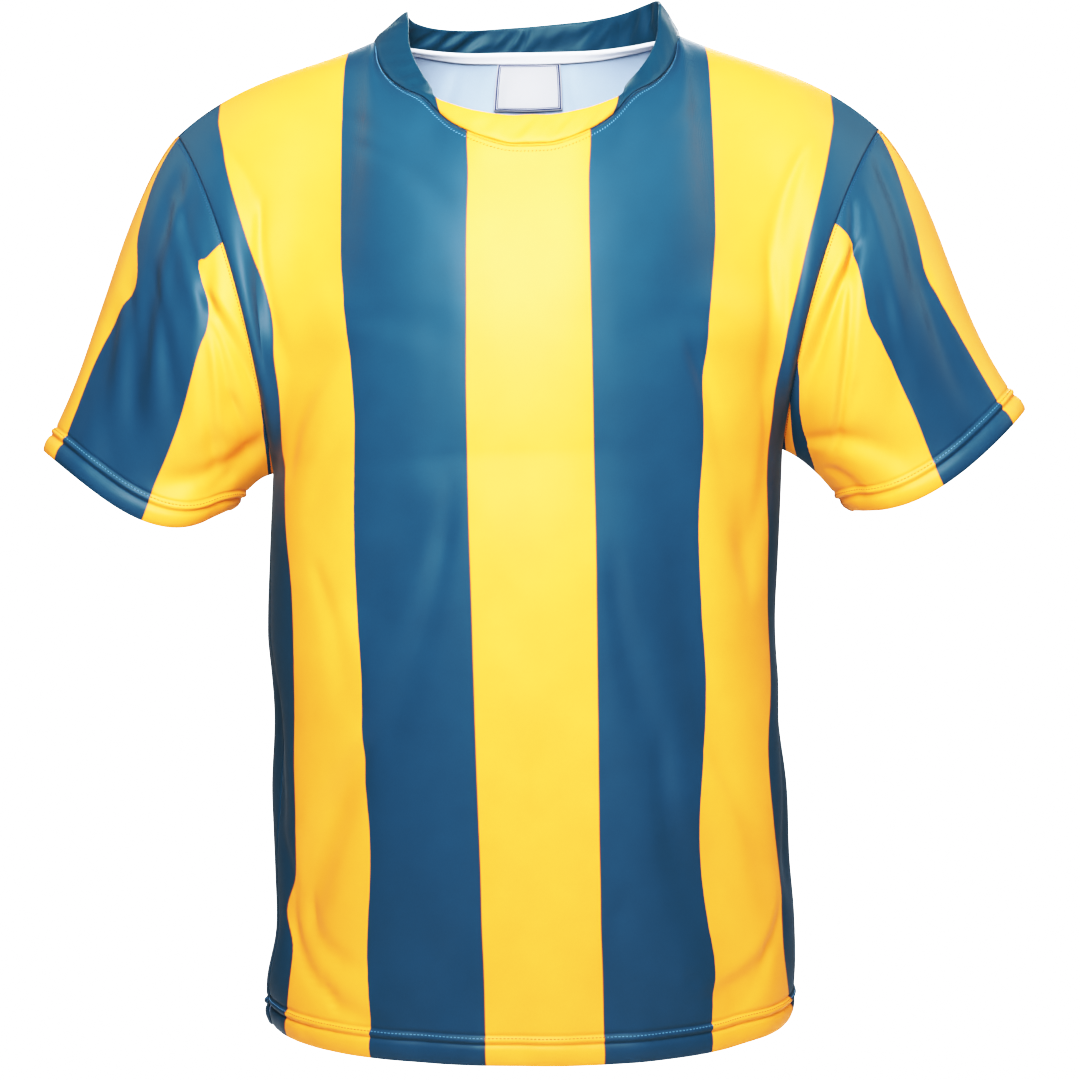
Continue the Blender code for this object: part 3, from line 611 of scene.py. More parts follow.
def hem_relief(low, rows, around):
    """The turned-up hem: a groove at each stitch row, a welt between, a roll below, and slight puckers."""
    lift = HEM_SWELL * ease((rows[1] + 0.003 - low) / 0.003)
    for share, depth, reach in HEM_GROOVES:
        lift = lift - depth * near(low, rows[1] + (rows[0] - rows[1]) * share, reach)
    lift = lift + HEM_ROLL * near(low, rows[0] * 0.55, rows[0] * 0.38)
    lift = lift - HEM_EDGE_TUCK * near(low, 0, 0.0011)
    waves = 0
    for row in PUCKERS:
        pucker = dict(zip(PUCKER_COLUMNS, row))
        sway = pucker["sway"] * np.sin(around / pucker["sway_length"])
        waves = waves + pucker["depth"] * np.sin(around / pucker["length"] + sway)
    return lift + waves * near(low, rows[0] * 0.8, PUCKER_REACH)


def place_in_print(x, z, table):
    """Where a point lies across the printed cloth, in metres from its middle."""
    level = column(table, STRIPE_COLUMNS, "z")
    edges = [smooth(level, column(table, STRIPE_COLUMNS, name), z) for name in STRIPE_COLUMNS[1:]]
    place = PRINTED[0] + x - edges[0]
    for k in range(len(PRINTED) - 1):
        part = np.clip((x - edges[k]) / (edges[k + 1] - edges[k]), 0, 1)
        place = np.where(x >= edges[k], PRINTED[k] + part * (PRINTED[k + 1] - PRINTED[k]), place)
    return np.where(x > edges[-1], PRINTED[-1] + x - edges[-1], place)


def distances(grid):
    """Each point's distance from the grid's left, right, lower and upper edges, along the cloth."""
    rows = np.linalg.norm(np.diff(grid, axis=1), axis=2)
    from_left = np.concatenate([np.zeros((len(grid), 1)), np.cumsum(rows, axis=1)], axis=1)
    columns = np.linalg.norm(np.diff(grid, axis=0), axis=2)
    from_low = np.concatenate([np.zeros((1, grid.shape[1])), np.cumsum(columns, axis=0)])
    return from_left, from_left[:, -1:] - from_left, from_low, from_low[-1:] - from_low


def panel(behind):
    """The front or back: its form with the solid's folds, each point's distance round from centre front, the
    rows below armpit level, and which columns meet the neck.
    """
    count = BACK_COLUMNS if behind else FRONT_COLUMNS
    neck_share = 1 - (BACK_SHOULDER_SHARE if behind else FRONT_SHOULDER_SHARE)
    edge = np.array(EDGE_STEPS) / PANEL_HALF
    inner = np.linspace(-1 + SEAM_COLUMNS_END, 1 - SEAM_COLUMNS_END, count - 2 * len(EDGE_STEPS) + 1)
    across = np.concatenate([-1 + edge, inner, 1 - edge[::-1]])
    above_hem = np.linspace(HEM_Z + ABOVE_HEM, ARMPIT_Z, BODY_ROWS)
    levels = np.concatenate([HEM_Z + np.array(HEM_STEPS), above_hem])
    rows = []
    distance = []
    for level in levels:
        row, s = body_row(level, across, behind)
        fall = (level - ARMPIT_Z) / (HEM_Z - ARMPIT_Z)
        rise = np.where(across < 0, HEM_RISE_LEFT * np.abs(across) ** 3, HEM_RISE_RIGHT * across ** 2)
        row[:, 2] += rise * fall + ARMPIT_TILT * across * (1 - fall) ** 2
        rows.append(row)
        distance.append(s)
    crowd = 1 - np.linspace(1, 0, CHEST_ROWS + 1)[1:-2] ** CROWDING
    shares = np.concatenate([crowd, 1 - edge[::-1] * SEAM_ROWS_SHARE])
    top = top_edge(behind, across, neck_share)
    upper = upper_columns(behind, rows[-1], top, across, neck_share, shares)
    grid = np.concatenate([np.stack(rows), upper])
    s = np.concatenate([np.stack(distance), np.repeat(distance[-1][None], len(upper), axis=0)])
    out = normals(grid) * (-1 if behind else 1)
    below = len(levels)
    fade = np.ones(grid.shape[:2])
    from_top = np.concatenate([[1.0], 1 - shares])
    side_fade = ease((1 - np.abs(across)) / FOLD_FADE_SIDE)
    fade[below - 1:] = ease(from_top / FOLD_FADE_TOP)[:, None] * side_fade
    push = out.copy()
    push[:below, :, 2] = 0
    push[:below] = unit(push[:below])
    for edge_column in (0, -1):
        push[:below, edge_column] = (math.copysign(1, grid[0, edge_column, 0]), 0, 0)
    grid = grid - push * (fold_depth(s, grid[..., 2]) * fade)[..., None]
    return grid, s, below, np.abs(across) <= neck_share


def dressed(grid, s, below, behind):
    """The cloth's outer surface: the solid's form with the finer folds, the hem and the seams."""
    grid = evened(grid, below, EVENED)
    x = grid[..., 0]
    z = grid[..., 2]
    out = normals(grid) * (-1 if behind else 1)
    left, right, low, top = distances(grid)
    side = np.minimum(left, right)
    ends = ease(side / 0.03) * ease(top / 0.02)
    creases = BACK_CREASES if behind else FRONT_CREASES
    depth = crease_depth(creases, x, z) * ends
    waves = RIPPLE * ripples(s if behind else x, z, 11.0 if behind else 3.0)
    waves = waves * ease(side / 0.02) * ease(top / 0.02)
    dip = SEAM_DIP * near(side, 0, SEAM_REACH)
    dip = np.maximum(dip, SEAM_DIP * near(top, 0, SEAM_REACH))
    lift = LAY - depth + waves - dip + hem_relief(low, HEM_ROWS, s)
    return grid + out * lift[..., None], out


def calc(tree, operation, *inputs):
    """The result of a Math node."""
    return node(tree, "ShaderNodeMath", dict(enumerate(inputs)), operation=operation).outputs[0]


def mapped(tree, value, start, end, to_start, to_end, **settings):
    """A value carried over from one range to another."""
    given = {"Value": value, "From Min": start, "From Max": end, "To Min": to_start, "To Max": to_end}
    return node(tree, "ShaderNodeMapRange", given, **settings).outputs["Result"]


def mixed(tree, share, first, second):
    """One colour laid over another by a share."""
    given = {"Factor": share, "A": first, "B": second}
    return node(tree, "ShaderNodeMix", given, data_type="RGBA").outputs["Result"]


def new_group(name, inputs, outputs):
    """A node group with named inputs and outputs, and what comes in."""
    group = bpy.data.node_groups.new(name, "ShaderNodeTree")
    for label, kind, value in inputs:
        socket = group.interface.new_socket(label, in_out="INPUT", socket_type="NodeSocket" + kind)
        if value is not None:
            socket.default_value = value
    for label, kind in outputs:
        group.interface.new_socket(label, in_out="OUTPUT", socket_type="NodeSocket" + kind)
    return group, node(group, "NodeGroupInput").outputs


def stripes_group():
    """Printed stripes, the first colour in the middle, with a thin darker line where the inks overlap."""
    inputs = (
        ("Place", "Float", 0.0),
        ("Middle colour", "Color", (1, 0.5, 0.05, 1)),
        ("Other colour", "Color", (0.02, 0.06, 0.12, 1)),
        ("Band width", "Float", 0.084),
        ("Edge softness", "Float", 0.0006),
        ("Overprint", "Color", (0.16, 0.035, 0.010, 1)),
        ("Overprint width", "Float", 0.0009),
        ("Overprint share", "Float", 0.55),
    )
    group, given = new_group("Printed stripes", inputs, (("Color", "Color"), ("Mask", "Float")))
    half = calc(group, "MULTIPLY", given["Band width"], 0.5)
    pair = calc(group, "MULTIPLY", given["Band width"], 2.0)
    from_start = calc(group, "ADD", calc(group, "ABSOLUTE", given["Place"]), half)
    from_middle = calc(group, "SUBTRACT", calc(group, "MODULO", from_start, pair), half)
    past = calc(group, "SUBTRACT", calc(group, "ABSOLUTE", from_middle), half)
    soft = calc(group, "DIVIDE", past, given["Edge softness"])
    mask = mapped(group, soft, -0.5, 0.5, 0.0, 1.0, interpolation_type="SMOOTHSTEP")
    colour = mixed(group, mask, given["Middle colour"], given["Other colour"])
    off_line = calc(group, "DIVIDE", calc(group, "ABSOLUTE", past), given["Overprint width"])
    line = mapped(group, off_line, 0.0, 1.0, 1.0, 0.0, interpolation_type="SMOOTHSTEP")
    inked = calc(group, "MULTIPLY", line, given["Overprint share"])
    node(group, "NodeGroupOutput", {"Color": mixed(group, inked, colour, given["Overprint"]), "Mask": mask})
    return group


def knit_group():
    """Interlock knit: fine upright wales crossed by courses, in yarn that varies from place to place."""
    inputs = (
        ("Across and up", "Vector", None),
        ("Wale width", "Float", 0.00058),
        ("Course height", "Float", 0.00045),
    )
    group, given = new_group("Interlock knit", inputs, (("Height", "Float"), ("Tone", "Float")))
    place = given["Across and up"]
    parts = node(group, "ShaderNodeSeparateXYZ", {0: place}).outputs
    waves = []
    for axis, spacing in (("X", "Wale width"), ("Y", "Course height")):
        turns = calc(group, "DIVIDE", parts[axis], given[spacing])
        waves.append(calc(group, "SINE", calc(group, "MULTIPLY", turns, 2 * math.pi)))
    loops = calc(group, "MULTIPLY_ADD", waves[1], 0.25, calc(group, "MULTIPLY", waves[0], 0.5))
    yarn = node(group, "ShaderNodeMapping", {"Vector": place, "Scale": (1000, 520, 1)}).outputs["Vector"]
    streaks = node(group, "ShaderNodeTexNoise", {"Vector": yarn, "Scale": 1.0, "Detail": 3.0}).outputs["Fac"]
    cloud = node(group, "ShaderNodeTexNoise", {"Vector": place, "Scale": 24.0, "Detail": 4.0}).outputs["Fac"]
    height = calc(group, "MULTIPLY_ADD", streaks, 1.2, loops)
    tone = calc(group, "MULTIPLY_ADD", streaks, 0.5, cloud)
    node(group, "NodeGroupOutput", {"Height": height, "Tone": tone})
    return group


STRIPES = stripes_group()
KNIT = knit_group()
YARN_TONES = (0.35, 1.15)    # how far the knit's tone runs
PRINTED_TONES = (0.90, 1.08)
PLAIN_TONES = (0.93, 1.05)
KNIT_RELIEF = 0.0004
YELLOW_ROUGHNESS = 0.50
NAVY_ROUGHNESS = 0.44
YELLOW = (0.95, 0.308, 0.046, 1)
NAVY = (0.0150, 0.055, 0.091, 1)
# The inside's white cloth is drawn darker and bluer than white: painted shade, as the inside lies in shadow.
INSIDE_WHITE_PAINTED_SHADE = (0.285, 0.360, 0.480, 1)


def knitted(name, bump, tones):
    """A knit material with its relief: the material, its tree, its shader's inputs and its tone."""
    material, tree, look = new_material(name)
    place = node(tree, "ShaderNodeUVMap", uv_map="cloth").outputs["UV"]
    knit = node(tree, "ShaderNodeGroup", {"Across and up": place}, node_tree=KNIT).outputs
    relief = {"Strength": bump, "Distance": KNIT_RELIEF, "Height": knit["Height"]}
    feed(tree, look, {"Normal": node(tree, "ShaderNodeBump", relief).outputs["Normal"]})
    return material, tree, look, mapped(tree, knit["Tone"], *YARN_TONES, *tones)


def toned(tree, colour, tone):
    """A colour times the yarn's tone."""
    given = {0: colour, "Scale": tone}
    return node(tree, "ShaderNodeVectorMath", given, operation="SCALE").outputs["Vector"]


def printed_knit(name, middle, other, bump=0.10):
    """Striped polyester knit, read from the cloth's own places across and up."""
    material, tree, look, tone = knitted(name, bump, PRINTED_TONES)
    place = node(tree, "ShaderNodeUVMap", uv_map="print").outputs["UV"]
    across = node(tree, "ShaderNodeSeparateXYZ", {0: place}).outputs["X"]
    given = {"Middle colour": middle, "Other colour": other, "Place": across}
    stripes = node(tree, "ShaderNodeGroup", given, node_tree=STRIPES).outputs
    roughness = mapped(tree, stripes["Mask"], 0.0, 1.0, YELLOW_ROUGHNESS, NAVY_ROUGHNESS)
    feed(tree, look, {"Base Color": toned(tree, stripes["Color"], tone), "Roughness": roughness})
    feed(tree, look, {"Specular IOR Level": 0.18, "Sheen Weight": 0.05, "Sheen Roughness": 0.35})
    return material


def plain_knit(name, colour, roughness=0.75, bump=0.15):
    """One-coloured knit or tape, with the same yarn variation."""
    material, tree, look, tone = knitted(name, bump, PLAIN_TONES)
    base = node(tree, "ShaderNodeRGB").outputs[0]
    base.default_value = colour
    feed(tree, look, {"Base Color": toned(tree, base, tone)})
    feed(tree, look, {"Roughness": roughness, "Specular IOR Level": 0.25})
    return material


STRIPED_KNIT = printed_knit("striped_knit", YELLOW, NAVY)
KNIT_INSIDE = plain_knit("knit_inside", INSIDE_WHITE_PAINTED_SHADE)


def lay_uv(mesh, name, values):
    """A UV layer from a pair of values for each corner."""
    layer = mesh.uv_layers.new(name=name)
    layer.data.foreach_set("uv", values.astype(np.float32).ravel())


def shell(name, outer, inner, places, cloth, materials, closed=False, flip=False):
    """A thin piece of cloth between an outer and an inner surface, with its edges closed."""
    rows, columns = outer.shape[:2]
    size = rows * columns
    span = columns if closed else columns - 1
    i = np.arange(rows - 1)[:, None] * columns
    j = np.arange(span)[None, :]
    k = (j + 1) % columns
    face = np.stack([i + j, i + k, i + columns + k, i + columns + j], axis=-1).reshape(-1, 4)
    outside = face if not flip else face[:, ::-1]
    inside = (face if flip else face[:, ::-1]) + size
    if closed:
        low = np.arange(columns)
        high = size - columns + np.arange(columns)
        borders = ((np.append(low, low[0]), True), (np.append(high, high[0]), False))
    else:
        ring = np.concatenate(
            [
                np.arange(columns),
                np.arange(1, rows) * columns + columns - 1,
                size - 2 - np.arange(columns - 1),
                np.arange(rows - 2, -1, -1) * columns,
            ]
        )
        borders = ((ring, True),)
    rims = []
    for ring, forward in borders:
        a = ring[:-1]
        b = ring[1:]
        quad = np.stack([b, a, a + size, b + size], axis=-1)
        rims.append(quad if forward != flip else quad[:, ::-1])
    rim = np.concatenate(rims)
    faces = np.concatenate([outside, inside, rim])
    mesh = bpy.data.meshes.new(name)
    points = np.concatenate([outer.reshape(-1, 3), inner.reshape(-1, 3)])
    mesh.from_pydata(points.tolist(), [], faces.tolist())
    sides = np.zeros(len(faces), np.int32)
    sides[len(outside): len(outside) + len(inside)] = 1
    mesh.polygons.foreach_set("material_index", sides)
    mesh.shade_smooth()
    corners = np.zeros(len(mesh.loops), np.int32)
    mesh.loops.foreach_get("vertex_index", corners)
    corners = corners % size
    lay_uv(mesh, "print", places.reshape(-1, 2)[corners])
    lay_uv(mesh, "cloth", cloth.reshape(-1, 2)[corners])
    return new_piece(name, mesh, *materials)


front_form, front_s, body_rows, front_at_neck = panel(False)
back_form, back_s, _, back_at_neck = panel(True)
front_cloth, front_out = dressed(front_form, front_s, body_rows, False)
half_turn = np.linspace(0, math.pi, FINE)
girth = np.stack([length_along(body_point(half_turn, z))[-1] for z in back_form[:body_rows, 0, 2]])
half_girth = np.concatenate([girth, np.full(len(back_form) - body_rows, girth[-1])])[:, None]
back_across = np.sign(back_s) * (half_girth - np.abs(back_s))
back_cloth, back_out = dressed(back_form, back_across, body_rows, True)

panels = {}
for key, outer, out, form, at_neck, stripes in (
    ("front", front_cloth, front_out, front_form, front_at_neck, FRONT_STRIPES),
    ("back", back_cloth, back_out, back_form, back_at_neck, BACK_STRIPES),
):
    place = place_in_print(form[..., 0], form[..., 2], stripes)
    _, _, up, _ = distances(form)
    places = np.stack([place, up], axis=-1)
    inner = outer - out * CLOTH
    knits = (STRIPED_KNIT, KNIT_INSIDE)
    piece = shell(key + "_panel", outer, inner, places, places, knits, flip=key == "back")
    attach(piece, "root")
    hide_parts(key)
    panels[key] = {"piece": piece, "cloth": outer, "out": out, "places": places, "at_neck": at_neck}

# The hem's cover-stitching and the topstitching round the neck, which hold down what is turned in. The
# thread is rust-brown on the yellow stripes and pale blue on the navy ones.

STITCH_PITCH = 0.0026
STITCH_LONG = 0.0017
STITCH_WIDE = 0.00038
STITCH_FLAT = 0.8            # a stitch is a little wider than thick
STITCH_SINK = 0.00045        # the lower row of a hem is drawn down in its groove
NECK_SLANT = 0.75
STITCH_SPANS = ((-0.5, 0.30, -0.45), (-0.30, 0.95, 0.15), (0.30, 0.95, 0.15), (0.5, 0.30, -0.45))
STITCH_SIDES = 6
THREAD_ON_YELLOW = (0.42, 0.130, 0.018, 1)
THREAD_ON_NAVY = (0.10, 0.20, 0.33, 1)
SEAM_THREAD_ON_NAVY = (0.020, 0.065, 0.125, 1)


def row_across(cloth, out, places, distance, sink=0.0):
    """The line on a cloth at a distance from its first row, with its normals and places in the print."""
    line = []
    for k in range(cloth.shape[1]):
        run = length_along(cloth[:, k])
        parts = np.concatenate([cloth[:, k], out[:, k], places[:, k]], axis=1)
        line.append([np.interp(distance, run, parts[:, m]) for m in range(8)])
    line = np.array(line)
    return line[:, :3] - sink * line[:, 3:6], line[:, 3:6], line[:, 6:]


def stitched(name, rows, material, slant=0.0):
    """Rows of separate stitches, each a short thread whose ends go down into the cloth."""
    stitches = []
    places = []
    step = 0.0005
    for line, normal, place in rows:
        run = length_along(line)
        at = np.arange(0.6 * STITCH_PITCH, run[-1] - 0.4 * STITCH_PITCH, STITCH_PITCH)
        both = np.concatenate([line, normal, place], axis=1)
        found = np.stack([np.interp(at, run, both[:, m]) for m in range(8)], axis=1)
        ahead = np.stack([np.interp(at + step, run, line[:, m]) for m in range(3)], axis=1)
        before = np.stack([np.interp(at - step, run, line[:, m]) for m in range(3)], axis=1)
        up = unit(found[:, 3:6])
        along = unit(ahead - before)
        across = unit(np.cross(up, along))
        turned = along * math.cos(slant) + across * math.sin(slant)
        beside = across * math.cos(slant) - along * math.sin(slant)
        points = []
        for span, wide, lift in STITCH_SPANS:
            for k in range(STITCH_SIDES):
                angle = 2 * math.pi * k / STITCH_SIDES
                ring = turned * span * STITCH_LONG + beside * wide * STITCH_WIDE * math.cos(angle)
                rise = lift + STITCH_FLAT * wide * math.sin(angle)
                points.append(found[:, :3] + ring + up * rise * STITCH_WIDE)
        stitches.append(np.stack(points, axis=1))
        places.append(found[:, 6:])
    stitches = np.concatenate(stitches)
    faces = []
    for k in range(len(STITCH_SPANS) - 1):
        for m in range(STITCH_SIDES):
            n = (m + 1) % STITCH_SIDES
            base = k * STITCH_SIDES
            faces.append((base + m, base + n, base + STITCH_SIDES + n, base + STITCH_SIDES + m))
    per = len(STITCH_SPANS) * STITCH_SIDES
    every = (np.arange(len(stitches))[:, None, None] * per + np.array(faces)[None]).reshape(-1, 4)
    mesh = bpy.data.meshes.new(name)
    mesh.from_pydata(stitches.reshape(-1, 3).tolist(), [], every.tolist())
    mesh.shade_smooth()
    corners = np.repeat(np.concatenate(places), len(faces) * 4, axis=0)
    for layer in ("print", "cloth"):
        lay_uv(mesh, layer, corners)
    piece = new_piece(name, mesh, material)
    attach(piece, "root")
    return piece


THREAD = printed_knit("stitching_thread", THREAD_ON_YELLOW, THREAD_ON_NAVY, bump=0.3)
SEAM_THREAD = printed_knit("seam_thread", THREAD_ON_YELLOW, SEAM_THREAD_ON_NAVY, bump=0.3)
for key in ("front", "back"):
    made = panels[key]
    cloth = (made["cloth"], made["out"], made["places"])
    hem_rows = [row_across(*cloth, HEM_ROWS[0], STITCH_SINK), row_across(*cloth, HEM_ROWS[1])]
    stitched(key + "_hem_stitching", hem_rows, THREAD)
    from_top = [made[name][::-1] for name in ("cloth", "out", "places")]
    line, normal, place = row_across(*from_top, NECK_ROW)
    at_neck = made["at_neck"]
    neck_row = [(line[at_neck], normal[at_neck], place[at_neck])]
    stitched(key + "_neck_stitching", neck_row, THREAD, slant=NECK_SLANT)

# Sleeves: set-in short sleeves of the same striped knit, with the middle of the print behind the end of the
# shoulder seam. They are sewn into the armholes and topstitched there, and the cuffs are turned up.

CUFF_COLUMNS = ("outer_x", "outer_z", "inner_x", "inner_z", "drop", "shift", "flare")
CUFF_LEFT = (-0.3495, -0.2940, -0.2170, -0.3355, 0.024, 0.60, 0.000)
CUFF_RIGHT = (0.3535, -0.2640, 0.2300, -0.3355, 0.017, 0.35, 0.010)
CUFF_DEPTH = 0.056
CUFF_Y = 0.004
CUFF_BACK_DROP = 0.012
CAP_FULLNESS = 0.020
CAP_LIFT = 0.35
CAP_SPREAD_LEFT = 0.38
CAP_SPREAD_RIGHT = 0.36
UNDERARM_LIFT = 0.006
SLEEVE_START = 0.30
SLEEVE_END = 0.33
SLEEVE_ROWS = 60
SLEEVE_FINE = 400
CUFF_ROWS = (0.0130, 0.0192)

# Where the stripes' edges run round a sleeve, by the share of the way from the armhole to the cuff, as
# shares of the way from the shoulder down to the armpit, in front where they are positive.
SLEEVE_STRIPES_LEFT = (
    (0.00, -1.08, -0.72, -0.34, 0.050, 0.494, 0.790),
    (0.05, -1.10, -0.72, -0.33, 0.064, 0.483, 0.890),
    (0.10, -1.10, -0.72, -0.33, 0.078, 0.470, 0.980),
    (0.15, -1.10, -0.72, -0.33, 0.095, 0.458, 1.040),
    (0.185, -1.10, -0.72, -0.33, 0.111, 0.540, 1.050),
    (0.22, -1.10, -0.72, -0.33, 0.126, 0.558, 1.060),
    (0.30, -1.10, -0.72, -0.32, 0.160, 0.560, 1.060),
    (0.40, -1.10, -0.73, -0.32, 0.243, 0.562, 1.060),
    (0.50, -1.15, -0.74, -0.32, 0.208, 0.562, 1.060),
    (0.70, -1.15, -0.75, -0.33, 0.168, 0.552, 1.060),
    (0.85, -1.15, -0.76, -0.33, 0.175, 0.541, 1.060),
    (1.00, -1.20, -0.77, -0.33, 0.194, 0.550, 1.060),
)
SLEEVE_STRIPES_RIGHT = (
    (0.00, -1.08, -0.72, -0.34, 0.060, 0.480, 0.770),
    (0.05, -1.10, -0.72, -0.33, 0.090, 0.471, 0.815),
    (0.10, -1.10, -0.72, -0.33, 0.120, 0.462, 0.860),
    (0.20, -1.10, -0.72, -0.33, 0.178, 0.498, 0.915),
    (0.31, -1.10, -0.72, -0.32, 0.215, 0.529, 0.950),
    (0.42, -1.10, -0.73, -0.32, 0.246, 0.519, 0.990),
    (0.54, -1.15, -0.74, -0.32, 0.236, 0.507, 1.060),
    (0.70, -1.15, -0.75, -0.33, 0.214, 0.500, 1.060),
    (0.85, -1.15, -0.76, -0.33, 0.205, 0.503, 1.060),
    (1.00, -1.20, -0.77, -0.33, 0.214, 0.520, 1.060),
)

# Sleeve folds: the share of the way from the armpit up the front and round, and the share from the armhole
# to the cuff, at each end, then width and depth.
SLEEVE_FOLD_COLUMNS = ("a0", "t0", "a1", "t1", "width", "depth")
SLEEVE_FOLDS_LEFT = (
    (0.400, 0.02, 0.330, 0.50, 0.014, 0.0035),
    (0.360, 0.04, 0.285, 0.55, 0.010, -0.0025),
    (0.250, 0.10, 0.130, 0.60, 0.014, 0.0040),
    (0.330, 0.30, 0.300, 0.90, 0.016, 0.0030),
    (0.400, 0.30, 0.390, 0.95, 0.016, 0.0025),
    (0.100, 0.40, 0.200, 0.80, 0.016, 0.0030),
    (0.620, 0.05, 0.680, 0.70, 0.016, 0.0030),
    (0.800, 0.10, 0.880, 0.60, 0.016, 0.0035),
)
SLEEVE_FOLDS_RIGHT = (
    (0.400, 0.02, 0.350, 0.40, 0.013, 0.0035),
    (0.330, 0.04, 0.280, 0.45, 0.011, -0.0025),
    (0.290, 0.05, 0.110, 0.45, 0.012, 0.0050),
    (0.360, 0.35, 0.330, 0.95, 0.018, 0.0028),
    (0.100, 0.50, 0.230, 0.85, 0.018, 0.0030),
    (0.630, 0.05, 0.690, 0.70, 0.016, 0.0030),
    (0.820, 0.10, 0.900, 0.60, 0.016, 0.0035),
)

# Sharper folds drawn on the sleeve's front and back, as on the body.
SLEEVE_CREASES_LEFT = (
    (-0.2490, -0.1080, -0.2250, -0.1900, -0.0030, 0.0050, 0.0017, 0.0009),
    (-0.2255, -0.1880, -0.1925, -0.2480, 0.0010, 0.0058, 0.0044, -0.0014),
    (-0.2600, -0.1180, -0.2370, -0.2110, -0.0030, 0.0075, 0.0011, 0.0003),
    (-0.2640, -0.1750, -0.2480, -0.2700, 0.0020, 0.0065, 0.0015, 0.0000),
    (-0.2830, -0.1850, -0.2780, -0.2750, 0.0000, 0.0070, 0.0020, 0.0000),
    (-0.2960, -0.2000, -0.3000, -0.2900, -0.0020, 0.0080, 0.0016, 0.0000),
    (-0.2200, -0.2130, -0.2100, -0.2720, 0.0020, 0.0060, 0.0036, 0.0012),
    (-0.2080, -0.2580, -0.2000, -0.2900, 0.0010, 0.0045, 0.0020, 0.0000),
    (-0.1930, -0.2900, -0.2500, -0.3200, 0.0060, 0.0080, 0.0052, -0.0016),
    (-0.2100, -0.3100, -0.2330, -0.3270, 0.0020, 0.0040, 0.0016, 0.0000),
)
SLEEVE_CREASES_RIGHT = (
    (0.2240, -0.1220, 0.2240, -0.1620, 0.0010, 0.0050, 0.0016, -0.0005),
    (0.2250, -0.1560, 0.1930, -0.2400, -0.0020, 0.0052, 0.0072, 0.0032),
    (0.2330, -0.1280, 0.2280, -0.1750, 0.0010, 0.0060, 0.0011, 0.0000),
    (0.2760, -0.1720, 0.3120, -0.2620, -0.0040, 0.0080, 0.0022, 0.0000),
    (0.2450, -0.1900, 0.2580, -0.2700, 0.0020, 0.0080, 0.0014, 0.0000),
    (0.1980, -0.2860, 0.2600, -0.3050, 0.0050, 0.0070, 0.0026, 0.0010),
    (0.2250, -0.2500, 0.2120, -0.2900, 0.0020, 0.0060, 0.0014, 0.0000),
    (0.2120, -0.3060, 0.2330, -0.3250, 0.0020, 0.0040, 0.0018, 0.0000),
)
BACK_SHARE = 0.8             # the same folds on the sleeve's back are a little weaker
FOLD_SHARE = 0.7
SLEEVE_GIRTH = 0.42          # a rough measure, for the waves
CUFF_GIRTH = 0.4             # and for the hem's puckers


def sleeve(side):
    """The sleeve's smooth form, its columns starting at the armpit and going up the front."""
    edge = 0 if side < 0 else -1
    up_front = front_form[body_rows - 1:, edge]
    down_back = back_form[body_rows - 1:, edge][::-1]
    armhole = np.concatenate([up_front, down_back[1:-1]])
    cuff = dict(zip(CUFF_COLUMNS, CUFF_LEFT if side < 0 else CUFF_RIGHT))
    spread = CAP_SPREAD_LEFT if side < 0 else CAP_SPREAD_RIGHT
    outer = np.array([cuff["outer_x"] - side * WALL, CUFF_Y, cuff["outer_z"]])
    inner = np.array([cuff["inner_x"] + side * WALL, CUFF_Y, cuff["inner_z"]])
    share_up = np.linspace(0, 1, len(up_front))
    around = np.concatenate([math.pi * share_up, 2 * math.pi - math.pi * share_up[::-1][1:-1]])
    middle = (outer + inner) / 2
    forward = np.sin(around)
    drop = np.where(forward > 0, cuff["drop"], CUFF_BACK_DROP) * forward ** 2
    drop *= 1 + cuff["shift"] * np.cos(around)
    hem = middle - np.cos(around)[:, None] * (outer - inner) / 2
    hem[:, 1] -= forward * (CUFF_DEPTH - WALL)
    hem[:, 2] -= drop
    axis = unit(middle - np.mean(even_armhole(side), axis=0))
    length = np.linalg.norm(hem - armhole, axis=1)[:, None]
    above = np.clip(-np.cos(around), 0, 1)
    outwards = np.stack([side * above * spread, -forward, above * CAP_LIFT], axis=1)
    under = ((1 + np.cos(around)) / 2)[:, None] ** 3
    lift = np.array([side * UNDERARM_LIFT, 0, UNDERARM_LIFT])
    start_handle = axis * length * (1 - under) + (hem - armhole) * under
    start = armhole + start_handle * SLEEVE_START + outwards * CAP_FULLNESS + lift * under
    end = hem - start_handle * SLEEVE_END
    end[:, 0] -= side * cuff["flare"] * above
    curve = bezier(armhole, start, end, hem, np.linspace(0, 1, SLEEVE_FINE))
    lines = []
    for k in range(curve.shape[1]):
        long = length_along(curve[:, k])[-1]
        at_hem = long - np.array(HEM_STEPS)[::-1]
        at_seam = np.array(EDGE_STEPS)
        body = np.linspace(at_seam[-1] + 0.001, at_hem[0] - 0.002, SLEEVE_ROWS)
        lines.append(read_at(curve[:, k], np.concatenate([at_seam, body, at_hem])))
    return np.stack(lines, axis=1), around


def even_armhole(side):
    """The armhole's line, for its middle."""
    edge = 0 if side < 0 else -1
    front_line = front_form[body_rows - 1:, edge]
    back_line = back_form[body_rows - 1:, edge][::-1]
    line = np.concatenate([front_line, back_line[1:]])
    return read_at(line, np.linspace(0, length_along(line)[-1], 60))


def sleeve_fold_depth(folds, a, t, around_length):
    """How far the sleeve's folds draw it in. a wraps round the sleeve once."""
    depth = np.zeros_like(a)
    for row in folds:
        fold = dict(zip(SLEEVE_FOLD_COLUMNS, row))
        along = (t - fold["t0"]) / (fold["t1"] - fold["t0"])
        line = fold["a0"] + (fold["a1"] - fold["a0"]) * along
        apart = (a - line + 0.5) % 1.0 - 0.5
        u = apart * around_length / fold["width"]
        ends = ease(2.5 * along + 0.5) * ease(2.7 - 2 * along)
        depth += fold["depth"] * np.exp(-(u ** 2)) * (1 - 0.4 * u ** 2) * ends
    return depth


